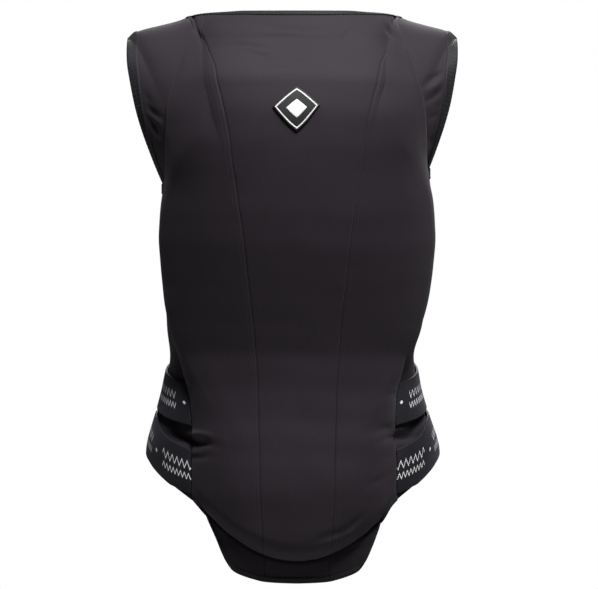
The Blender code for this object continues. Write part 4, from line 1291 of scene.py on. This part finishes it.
def knit_cloth(name, colour, wale, roughness, sheen):
    """Warp-knitted nylon and elastane, brushed: fine upright wales crossed by courses.

    The real wales are about 0.4 mm apart, too fine to show, so they are drawn coarser.
    A brushed face gives a soft sheen at grazing angles and no gloss.
    """
    made, tree, shader = start_material(name, colour, roughness, 0.18, sheen, (0.86, 0.80, 0.88))
    u, v = flat_map(tree)
    sway = calc(tree, "MULTIPLY", wave(tree, u, wale), wale / 3)
    courses = wave(tree, calc(tree, "ADD", v, sway), wale * 0.8)
    knit = calc(tree, "MULTIPLY", wave(tree, u, wale), courses)
    fuzz = cloud(tree, 0.0016, 4.0)
    height = calc(tree, "MULTIPLY_ADD", fuzz, 0.6, knit)
    blots = calc(tree, "MULTIPLY_ADD", cloud(tree, 0.030), 0.5, calc(tree, "MULTIPLY", fuzz, 0.5))
    shade(tree, shader, colour, height, 0.00012, (blots, 0.42))
    return made


def woven_elastic(name, colour, mark, phase):
    """Woven polyester elastic: ribs along it, picks across, and pale marks woven in.

    The marks are generic: two rows of zigzags in a block, then a dot.
    """
    made, tree, shader = start_material(name, colour, 0.62, 0.20, 0.12, (0.80, 0.80, 0.95))
    u, v = flat_map(tree)
    ribs, picks = wave(tree, v, 0.0022), wave(tree, u, 0.0011)
    height = calc(tree, "MULTIPLY_ADD", picks, 0.45, ribs)
    woven = calc(tree, "MULTIPLY", height, 0.3)
    factor = calc(tree, "MULTIPLY_ADD", cloud(tree, 0.003), 0.3, woven)
    place = calc(tree, "WRAP", calc(tree, "ADD", u, phase), MARK_REPEAT, 0.0)
    block = calc(tree, "LESS_THAN", place, MARK_BLOCK)
    shown = []
    for middle, tall, pitch in MARK_ROWS:
        peak = calc(tree, "MULTIPLY", calc(tree, "PINGPONG", place, pitch / 2), tall * 2 / pitch)
        off = calc(tree, "SUBTRACT", calc(tree, "SUBTRACT", v, middle - tall / 2), peak)
        shown.append(calc(tree, "LESS_THAN", calc(tree, "ABSOLUTE", off), MARK_STROKE))
    rows = calc(tree, "MULTIPLY", calc(tree, "MAXIMUM", *shown), block)
    dot_u = calc(tree, "SUBTRACT", place, MARK_DOT_PLACE)
    apart = calc(tree, "ADD", calc(tree, "MULTIPLY", dot_u, dot_u), calc(tree, "MULTIPLY", v, v))
    dot = calc(tree, "LESS_THAN", calc(tree, "SQRT", apart), MARK_DOT)
    shade(tree, shader, colour, height, 0.00022, (factor, 0.5))
    add_mark(tree, shader, calc(tree, "MAXIMUM", rows, dot), mark)
    return made


def folded_tape(name, colour):
    """Lycra binding tape, smooth with a fine twill that shows as slanted lines."""
    made, tree, shader = start_material(name, colour, 0.55, 0.22, 0.12, (0.85, 0.85, 0.92))
    u, v = flat_map(tree)
    twill = wave(tree, calc(tree, "ADD", u, v), 0.0011)
    factor = calc(tree, "MULTIPLY_ADD", cloud(tree, 0.004), 0.5, calc(tree, "MULTIPLY", twill, 0.3))
    shade(tree, shader, colour, twill, 0.00010, (factor, 0.4))
    return made


def sewing_thread(name, colour):
    """Spun polyester thread, a little paler and shinier than the cloth it is sewn in."""
    made, tree, shader = start_material(name, colour, 0.45, 0.35)
    shade(tree, shader, colour, cloud(tree, 0.0004), 0.00005, (cloud(tree, 0.002), 0.3))
    return made


def moulded_rubber(name, colour, mark):
    """Moulded silicone rubber, matt black, with a raised rim and lozenge in pale ink."""
    made, tree, shader = start_material(name, colour, 0.48, 0.35)
    u, v = flat_map(tree)
    far = calc(tree, "MAXIMUM", calc(tree, "ABSOLUTE", u), calc(tree, "ABSOLUTE", v))
    rim_low = calc(tree, "GREATER_THAN", far, BADGE_RIM_SHARE - BADGE_RIM_WIDTH)
    rim = calc(tree, "MULTIPLY", rim_low, calc(tree, "LESS_THAN", far, BADGE_RIM_SHARE))
    motif = calc(tree, "LESS_THAN", far, BADGE_MOTIF_SHARE)
    shade(tree, shader, colour, cloud(tree, 0.0005), 0.00004, (cloud(tree, 0.004), 0.3))
    add_mark(tree, shader, calc(tree, "MAXIMUM", rim, motif), mark)
    return made


def hook_tape(name, colour):
    """Hook-and-loop tape: a napped face with small even tufts."""
    made, tree, shader = start_material(name, colour, 0.85, 0.10, 0.35, (0.8, 0.8, 0.8))
    u, v = flat_map(tree)
    tufts = calc(tree, "MULTIPLY", wave(tree, u, 0.0016), wave(tree, v, 0.0016))
    height = calc(tree, "MULTIPLY_ADD", cloud(tree, 0.0008, 4.0), 0.8, tufts)
    shade(tree, shader, colour, height, 0.00030, (cloud(tree, 0.003), 0.5))
    return made


def zip_tape(name, colour):
    """Polyester zip tape with moulded teeth: a fine herringbone, slightly shiny."""
    made, tree, shader = start_material(name, colour, 0.48, 0.35)
    u, v = flat_map(tree)
    bone = wave(tree, calc(tree, "ADD", v, calc(tree, "ABSOLUTE", u)), 0.0013)
    shade(tree, shader, colour, bone, 0.00010, (cloud(tree, 0.003), 0.3))
    return made


def place_piece(piece, slot, *nodes):
    """Rides the piece on the vest's one body; it stands for the CAD nodes named."""
    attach(piece, "root")
    if nodes:
        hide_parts(*nodes)
    return piece


def lay_map(piece, u, v):
    """Gives both faces of a wall the same map, from grids of places on it."""
    corner = np.empty(len(piece.data.loops), np.int32)
    piece.data.loops.foreach_get("vertex_index", corner)
    uv = np.stack([u, v], axis=-1).reshape(-1, 2)[corner % u.size]
    piece.data.uv_layers[CLOTH_MAP].data.foreach_set("uv", uv.astype(np.float32).ravel())


def add_binding(kind, which, lines, lift, tape, thread, shares, closed=False):
    """A folded tape and its rows of stitches, at shares of its width."""
    edge, inner = lines
    piece = add_band(f"{kind}_tape{which}", edge, inner, lift, tape, closed)
    place_piece(piece, "binding", f"{kind}_binding{which}")
    rows = [stitch_points(edge, inner, share, lift + BINDING_THICKNESS) for share in shares]
    place_piece(add_stitches(f"{kind}_stitches{which}", rows, thread), "binding")


class ClothSettings(bpy.types.PropertyGroup):
    """Colours and relief of the vest's cloth panels."""

    colour: FloatVectorProperty(
        name="Cloth colour", description="Colour of the padded back's outer panels",
        subtype="COLOR", min=0, max=1, default=linear("#272128"),
    )
    centre_colour: FloatVectorProperty(
        name="Centre colour", description="Colour of the back's centre panel",
        subtype="COLOR", min=0, max=1, default=linear("#282229"),
    )
    side_colour: FloatVectorProperty(
        name="Side colour", description="Colour of the thin shoulder, side and front panels",
        subtype="COLOR", min=0, max=1, default=linear("#262127"),
    )
    lining_colour: FloatVectorProperty(
        name="Lining colour", description="Colour of the inner face of every panel",
        subtype="COLOR", min=0, max=1, default=linear("#1c1c1e"),
    )
    creases: FloatProperty(
        name="Creases", description="Share of the full depth of the small creases",
        subtype="FACTOR", min=0, max=2, default=1,
    )
    ripples: FloatProperty(
        name="Ripples", description="Share of the full depth of the faint level ripples",
        subtype="FACTOR", min=0, max=3, default=1,
    )


class TrimSettings(bpy.types.PropertyGroup):
    """Colours of the straps, tapes, zip, thread and badge."""

    elastic_colour: FloatVectorProperty(
        name="Elastic colour", description="Colour of the waist straps",
        subtype="COLOR", min=0, max=1, default=linear("#1b1b21"),
    )
    mark_colour: FloatVectorProperty(
        name="Mark colour", description="Colour of the marks on the straps and the badge",
        subtype="COLOR", min=0, max=1, default=linear("#eeeeee"),
    )
    tape_colour: FloatVectorProperty(
        name="Tape colour", description="Colour of the edge bindings and the zip tape",
        subtype="COLOR", min=0, max=1, default=linear("#18181b"),
    )
    thread_colour: FloatVectorProperty(
        name="Thread colour", description="Colour of the sewing thread",
        subtype="COLOR", min=0, max=1, default=linear("#323036"),
    )
    rubber_colour: FloatVectorProperty(
        name="Rubber colour", description="Colour of the badge's rubber",
        subtype="COLOR", min=0, max=1, default=linear("#1b1b1c"),
    )


class StageSettings(bpy.types.PropertyGroup):
    """Floor, light and camera."""

    floor_colour: FloatVectorProperty(
        name="Floor colour", description="Colour of the plain floor",
        subtype="COLOR", min=0, max=1, default=linear("#ececec"),
    )
    camera_distance: FloatProperty(
        name="Camera distance", description="Distance from the camera to the vest",
        unit="LENGTH", min=2, max=30, default=CAMERA_DISTANCE,
    )
    light_power: FloatProperty(
        name="Light power", description="Factor on the power of every lamp",
        min=0, max=5, default=1,
    )


def tape_fade(turn, rise, side):
    """0 at the shoulder panel's armhole edge and 1 from TAPE_FADE inside it."""
    across_it = lengths(form(turn, rise), 1)
    away = across_it[:, -1:] - across_it if side > 0 else across_it
    return ease(away / TAPE_FADE)


def thin_lift(turn, rise, cloth):
    """Folds, creases and ripples of a thin panel, before its edges roll."""
    points = form(turn, rise)
    return (
        fold_lift(turn, rise)
        + cloth.creases * crease_lift(points)
        + cloth.ripples * ripple_lift(points)
    )


class VEST_OT_padded_back(bpy.types.Operator):
    """Build the padded back: three panels of cloth over foam, with simulated swelling."""

    bl_idname = "vest.padded_back"
    bl_label = "Padded back"

    def execute(self, context):
        cloth = context.scene.vest_cloth
        shell = knit_cloth("brushed_stretch_knit_outer", cloth.colour[:], SHELL_WALE, 0.66, 0.12)
        centre = knit_cloth(
            "brushed_stretch_knit_centre", cloth.centre_colour[:], SHELL_WALE, 0.66, 0.12
        )
        lining = knit_cloth("warp_knit_lining", cloth.lining_colour[:], LINING_WALE, 0.75, 0.1)
        panels = (
            ("back_cover_left", side_back_grid(-1), shell, "shell_cloth", "back_panel_left"),
            ("back_cover_centre", centre_back_grid(), centre, "centre_cloth", "back_centre_panel"),
            ("back_cover_right", side_back_grid(1), shell, "shell_cloth", "back_panel_right"),
        )
        for name, (turn, rise), outer_cloth, slot, node in panels:
            pad = cover_pad_lift(turn, rise)
            there = ease((pad - 0.3 * PAD_EDGE) / PAD_EDGE)
            lift = pad + thin_lift(turn, rise, cloth) + there * swell(turn, rise, pad, 1 - there)
            lift = lift + seam_dip(turn, rise)
            piece = add_wall(
                name, turn, rise, lift, -CLOTH, [outer_cloth, lining], rounded=True
            )
            place_piece(piece, slot, node)
        return {"FINISHED"}


class VEST_OT_thin_panels(bpy.types.Operator):
    """Build the thin cloth panels at the shoulders, under the arms and in front."""

    bl_idname = "vest.thin_panels"
    bl_label = "Thin panels"

    def execute(self, context):
        cloth = context.scene.vest_cloth
        knit = knit_cloth("stretch_knit_side", cloth.side_colour[:], SIDE_WALE, 0.70, 0.12)
        lining = bpy.data.materials["warp_knit_lining"]
        kinds = (("shoulder", shoulder_grid), ("side", side_grid), ("front", front_grid))
        for side, name in ((-1, "left"), (1, "right")):
            for kind, make in kinds:
                turn, rise = make(side)
                lift = thin_lift(turn, rise, cloth)
                if kind == "shoulder":
                    lift = lift * tape_fade(turn, rise, side)
                edges = seam_dip(turn, rise, ends=kind == "shoulder")
                cover = add_wall(
                    f"{kind}_cloth_{name}", turn, rise, lift + edges, lift - CLOTH, [knit, lining]
                )
                place_piece(cover, "side_cloth", f"{kind}_panel_{name}")
                flat, area = cut_size(turn, rise)
        return {"FINISHED"}


class VEST_OT_waist_straps(bpy.types.Operator):
    """Build the four elastic waist straps with their woven marks."""

    bl_idname = "vest.waist_straps"
    bl_label = "Waist straps"

    def execute(self, context):
        trim = context.scene.vest_trim
        for line, phase in MARK_START.items():
            elastic = woven_elastic(
                f"woven_elastic_{line}", trim.elastic_colour[:], trim.mark_colour[:], phase
            )
            for side, name in ((-1, "left"), (1, "right")):
                turn, rise = strap_grid(side, line)
                points = form(turn, rise)
                run, wide = lengths(points, 1), lengths(points, 0)
                run = run if side > 0 else run[:, -1:] - run
                from_edge = np.minimum(wide, wide[-1:] - wide)
                tail = rolled((from_edge + STRAP_EDGE) / STRAP_ROLL)
                crown = STRAP_CROWN * np.sin(np.clip(wide / wide[-1:], 0, 1) * math.pi)
                pull = -STRAP_PULL * np.exp(-run / STRAP_PULL_REACH)
                swing = np.sin(run / STRAP_WAVE_LENGTH + 3 * wide / STRAP_WIDTH)
                wave_out = STRAP_WAVE * swing * np.exp(-run / STRAP_WAVE_REACH)
                high = STRAP_LIFT + crown + pull + wave_out
                outer = high + STRAP_THICKNESS * (0.3 + 0.7 * tail)
                piece = add_wall(
                    f"waist_elastic_{line}_{name}", turn, rise, outer, high, [elastic]
                )
                lay_map(piece, run, wide[-1:] / 2 - wide)
                place_piece(piece, "elastic", f"waist_strap_{line}_{name}")
        return {"FINISHED"}


class VEST_OT_waist_tabs(bpy.types.Operator):
    """Build the plain hook-and-loop tabs over the zip."""

    bl_idname = "vest.waist_tabs"
    bl_label = "Waist tabs"

    def execute(self, context):
        tape = hook_tape("hook_and_loop_tape", context.scene.vest_trim.tape_colour[:])
        for line in ("upper", "lower"):
            turn, rise = tab_grid(line)
            low = STRAP_LIFT + STRAP_THICKNESS + LAYER_GAP
            outer = low + TAB_THICKNESS + 0.6 * seam_dip(turn, rise, ends=True)
            piece = add_wall(f"hook_tab_{line}", turn, rise, outer, low, [tape])
            place_piece(piece, "hook_tape", f"waist_tab_{line}")
        return {"FINISHED"}


class VEST_OT_front_zip(bpy.types.Operator):
    """Build the plain front zip: two tapes and a row of moulded teeth."""

    bl_idname = "vest.front_zip"
    bl_label = "Front zip"

    def execute(self, context):
        tape = zip_tape("polyester_zip_tape", context.scene.vest_trim.tape_colour[:])
        rise = np.append(front_grid(1)[1][:, -1], 2.0)
        rise = np.interp(np.linspace(0, 1, 900), np.linspace(0, 1, len(rise)), rise)
        half = ZIP_WIDTH / 2
        place = np.linspace(half, ZIP_SLIT, 24)
        right = np.stack([zip_turn(1, rise, h) for h in place], axis=1)
        left = 4 + np.stack([zip_turn(-1, rise, h) for h in place[::-1]], axis=1)
        turn = np.concatenate([right, left], axis=1)
        grid = np.broadcast_to(rise[:, None], turn.shape)
        run = lengths(form(turn, grid), 0)
        place = np.concatenate([place, -place[::-1]])[None, :]
        tooth = rolled((ZIP_TEETH / 2 - np.abs(place)) / ZIP_ROLL)
        row = np.sin(run / ZIP_PITCH * 2 * math.pi + np.sign(place) * ZIP_STAGGER)
        step = rolled(1.3 * np.clip(row, 0, 1))
        lift = tooth * (ZIP_TOOTH_BASE + step * (ZIP_THICKNESS - CLOTH))
        lift = lift + ZIP_EDGE_DROP * (rolled((half - np.abs(place)) / ZIP_ROLL) - 1)
        piece = add_wall("zip_teeth_and_tape", turn, grid, lift, -CLOTH, [tape])
        place_piece(piece, "zip", "front_zip")
        return {"FINISHED"}


class VEST_OT_bindings(bpy.types.Operator):
    """Build the folded tapes round the armholes, the neck and the tail, and all stitching."""

    bl_idname = "vest.bindings"
    bl_label = "Bindings and stitching"

    def execute(self, context):
        trim, cloth = context.scene.vest_trim, context.scene.vest_cloth
        tape = folded_tape("folded_lycra_tape", trim.tape_colour[:])
        thread = sewing_thread("spun_polyester_thread", trim.thread_colour[:])
        for side, which in ((-1, "_left"), (1, "_right")):
            lines = armhole_band_lines(side)
            add_binding(
                "armhole", which, lines, 0.0, tape, thread, ARMHOLE_STITCH_ROWS, closed=True
            )
        add_binding("neck", "", neck_band_lines(), 0.0, tape, thread, EDGE_STITCH_ROWS)
        lines = tail_band_lines()
        lift = cover_pad_lift(*lines[1].T) + thin_lift(*lines[1].T, cloth)
        add_binding("tail", "", lines, lift, tape, thread, EDGE_STITCH_ROWS)
        rows = []
        for side in (-1, 1):
            rise = np.linspace(0.03, 1.97, 500)
            turn = moved_round(centre_seam(side, rise), rise, side * TOPSTITCH_OFFSET)
            line = np.stack([turn, rise], axis=1)
            lift = cover_pad_lift(turn, rise) + thin_lift(turn, rise, cloth)
            rows.append(stitch_points(line, line, 0.0, lift))
        place_piece(add_stitches("back_seam_stitches", rows, thread), "shell_cloth")
        return {"FINISHED"}


class VEST_OT_badge(bpy.types.Operator):
    """Build the diamond rubber badge, with a plain rim and a plain lozenge."""

    bl_idname = "vest.badge"
    bl_label = "Badge"

    def execute(self, context):
        trim = context.scene.vest_trim
        rubber = moulded_rubber("moulded_rubber", trim.rubber_colour[:], trim.mark_colour[:])
        middle = np.array([1.3])
        for _ in range(20):
            middle = middle + height_of(np.zeros(1), middle) - BADGE_DROP / VEST_LENGTH
        wide = form(0.1, middle)[0, 0] / 0.1
        tall = np.linalg.norm(directions(np.zeros(1), middle)[1])
        line = np.linspace(-1, 1, 121)
        u, v = np.meshgrid(line, line)
        reach = BADGE_DIAGONAL / 4
        turn = (u - v) * reach / wide
        rise = middle + (u + v) * reach / tall
        far = np.maximum(np.abs(u), np.abs(v))
        rim_middle = BADGE_RIM_SHARE - BADGE_RIM_WIDTH / 2
        rim = rolled((BADGE_RIM_WIDTH / 2 - np.abs(far - rim_middle)) / 0.03)
        motif = rolled((BADGE_MOTIF_SHARE - far) / 0.03)
        edge = rolled((1 - far) / 0.05)
        low = cover_pad_lift(turn, rise) + LAYER_GAP
        outer = low + BADGE_THICKNESS * (0.35 + 0.65 * edge) + (rim + motif) * BADGE_RELIEF
        piece = add_wall("badge_patch", turn, rise, outer, low - LAYER_GAP, [rubber])
        lay_map(piece, u, v)
        place_piece(piece, "badge_rubber", "badge")
        return {"FINISHED"}


class VEST_OT_stage(bpy.types.Operator):
    """Build the pale floor, the soft light and the camera."""

    bl_idname = "vest.stage"
    bl_label = "Stage"

    def execute(self, context):
        stage = context.scene.vest_stage
        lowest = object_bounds()[0].z - FLOOR_DROP
        rings, spokes = np.linspace(0.001, FLOOR_RADIUS, 12), np.linspace(0, 2 * math.pi, 97)
        ring, spoke = np.meshgrid(rings, spokes)
        points = np.stack([ring * np.cos(spoke), ring * np.sin(spoke), ring * 0 + lowest], axis=-1)
        quads = grid_quads(*ring.shape)[:, ::-1]
        made, tree, shader = start_material("painted_floor", stage.floor_colour[:], 0.8, 0.2)
        grain, mottle = cloud(tree, 0.002), cloud(tree, 0.4)
        shade(tree, shader, stage.floor_colour[:], grain, 0.00002, (mottle, 0.04))
        flat = points.reshape(-1, 3)
        floor = add_mesh("floor", flat, quads, flat[:, :2], [made])
        floor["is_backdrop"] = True

        world = bpy.data.worlds.new("pale_room")
        context.scene.world = world
        world.use_nodes = True
        tree = world.node_tree
        path = add_node(tree, "ShaderNodeLightPath").outputs["Is Camera Ray"]
        strength = calc(tree, "MULTIPLY_ADD", path, 1 - ROOM_LIGHT, ROOM_LIGHT)
        back = tree.nodes["Background"]
        back.inputs["Color"].default_value = (1, 1, 1, 1)
        tree.links.new(strength, back.inputs["Strength"])

        for name, place, aim, size, power in LAMPS:
            lamp = bpy.data.lights.new(name, "AREA")
            lamp.shape, lamp.size = "DISK", size
            lamp.energy = power * stage.light_power
            lamp.spread = math.radians(LAMP_SPREAD)
            made = bpy.data.objects.new(name, lamp)
            context.scene.collection.objects.link(made)
            made.location = place
            way = Vector(aim) - Vector(place)
            made.rotation_euler = way.to_track_quat("-Z", "Y").to_euler()

        context.scene.view_settings.view_transform = "Standard"
        lens = bpy.data.cameras.new("camera")
        camera = bpy.data.objects.new("camera", lens)
        context.scene.collection.objects.link(camera)
        across_it = (FRAME_PX[0] / 2 - CENTRE_LINE_PX) * METRES_PER_PX
        down = (FRAME_PX[1] / 2 - NECK_EDGE_PX) * METRES_PER_PX
        camera.location = (across_it, SHARP_PLANE - stage.camera_distance, SHOULDER_SLOPE - down)
        camera.rotation_euler = (math.pi / 2, 0, 0)
        lens.sensor_width = SENSOR_WIDTH
        lens.lens = SENSOR_WIDTH * stage.camera_distance / (FRAME_PX[0] * METRES_PER_PX)
        lens.clip_end = 60
        context.scene.camera = camera
        return {"FINISHED"}


OPERATORS = (
    VEST_OT_padded_back,
    VEST_OT_thin_panels,
    VEST_OT_waist_straps,
    VEST_OT_waist_tabs,
    VEST_OT_front_zip,
    VEST_OT_bindings,
    VEST_OT_badge,
    VEST_OT_stage,
)


class VEST_PT_panel(bpy.types.Panel):
    """Lists the vest's pieces and settings in the sidebar."""

    bl_idname = "VEST_PT_panel"
    bl_label = "Back protector"
    bl_space_type = "VIEW_3D"
    bl_region_type = "UI"
    bl_category = "Back protector"

    def draw(self, context):
        for made in OPERATORS:
            self.layout.operator(made.bl_idname)
        for name, group in SETTINGS.items():
            box = self.layout.box()
            for field in group.__annotations__:
                box.prop(getattr(context.scene, name), field)


SETTINGS = {"vest_cloth": ClothSettings, "vest_trim": TrimSettings, "vest_stage": StageSettings}


def register():
    """Adds the operators, the panel and the settings."""
    for made in (*SETTINGS.values(), *OPERATORS, VEST_PT_panel):
        bpy.utils.register_class(made)
    for name, group in SETTINGS.items():
        setattr(bpy.types.Scene, name, bpy.props.PointerProperty(type=group))


def unregister():
    """Takes them away again."""
    for name in SETTINGS:
        delattr(bpy.types.Scene, name)
    for made in (VEST_PT_panel, *reversed(OPERATORS), *reversed(SETTINGS.values())):
        bpy.utils.unregister_class(made)


def main():
    """Builds every piece in order."""
    register()
    bpy.ops.vest.padded_back()
    bpy.ops.vest.thin_panels()
    bpy.ops.vest.waist_straps()
    bpy.ops.vest.waist_tabs()
    bpy.ops.vest.front_zip()
    bpy.ops.vest.bindings()
    bpy.ops.vest.badge()
    bpy.ops.vest.stage()


if __name__ == "__main__":
    main()
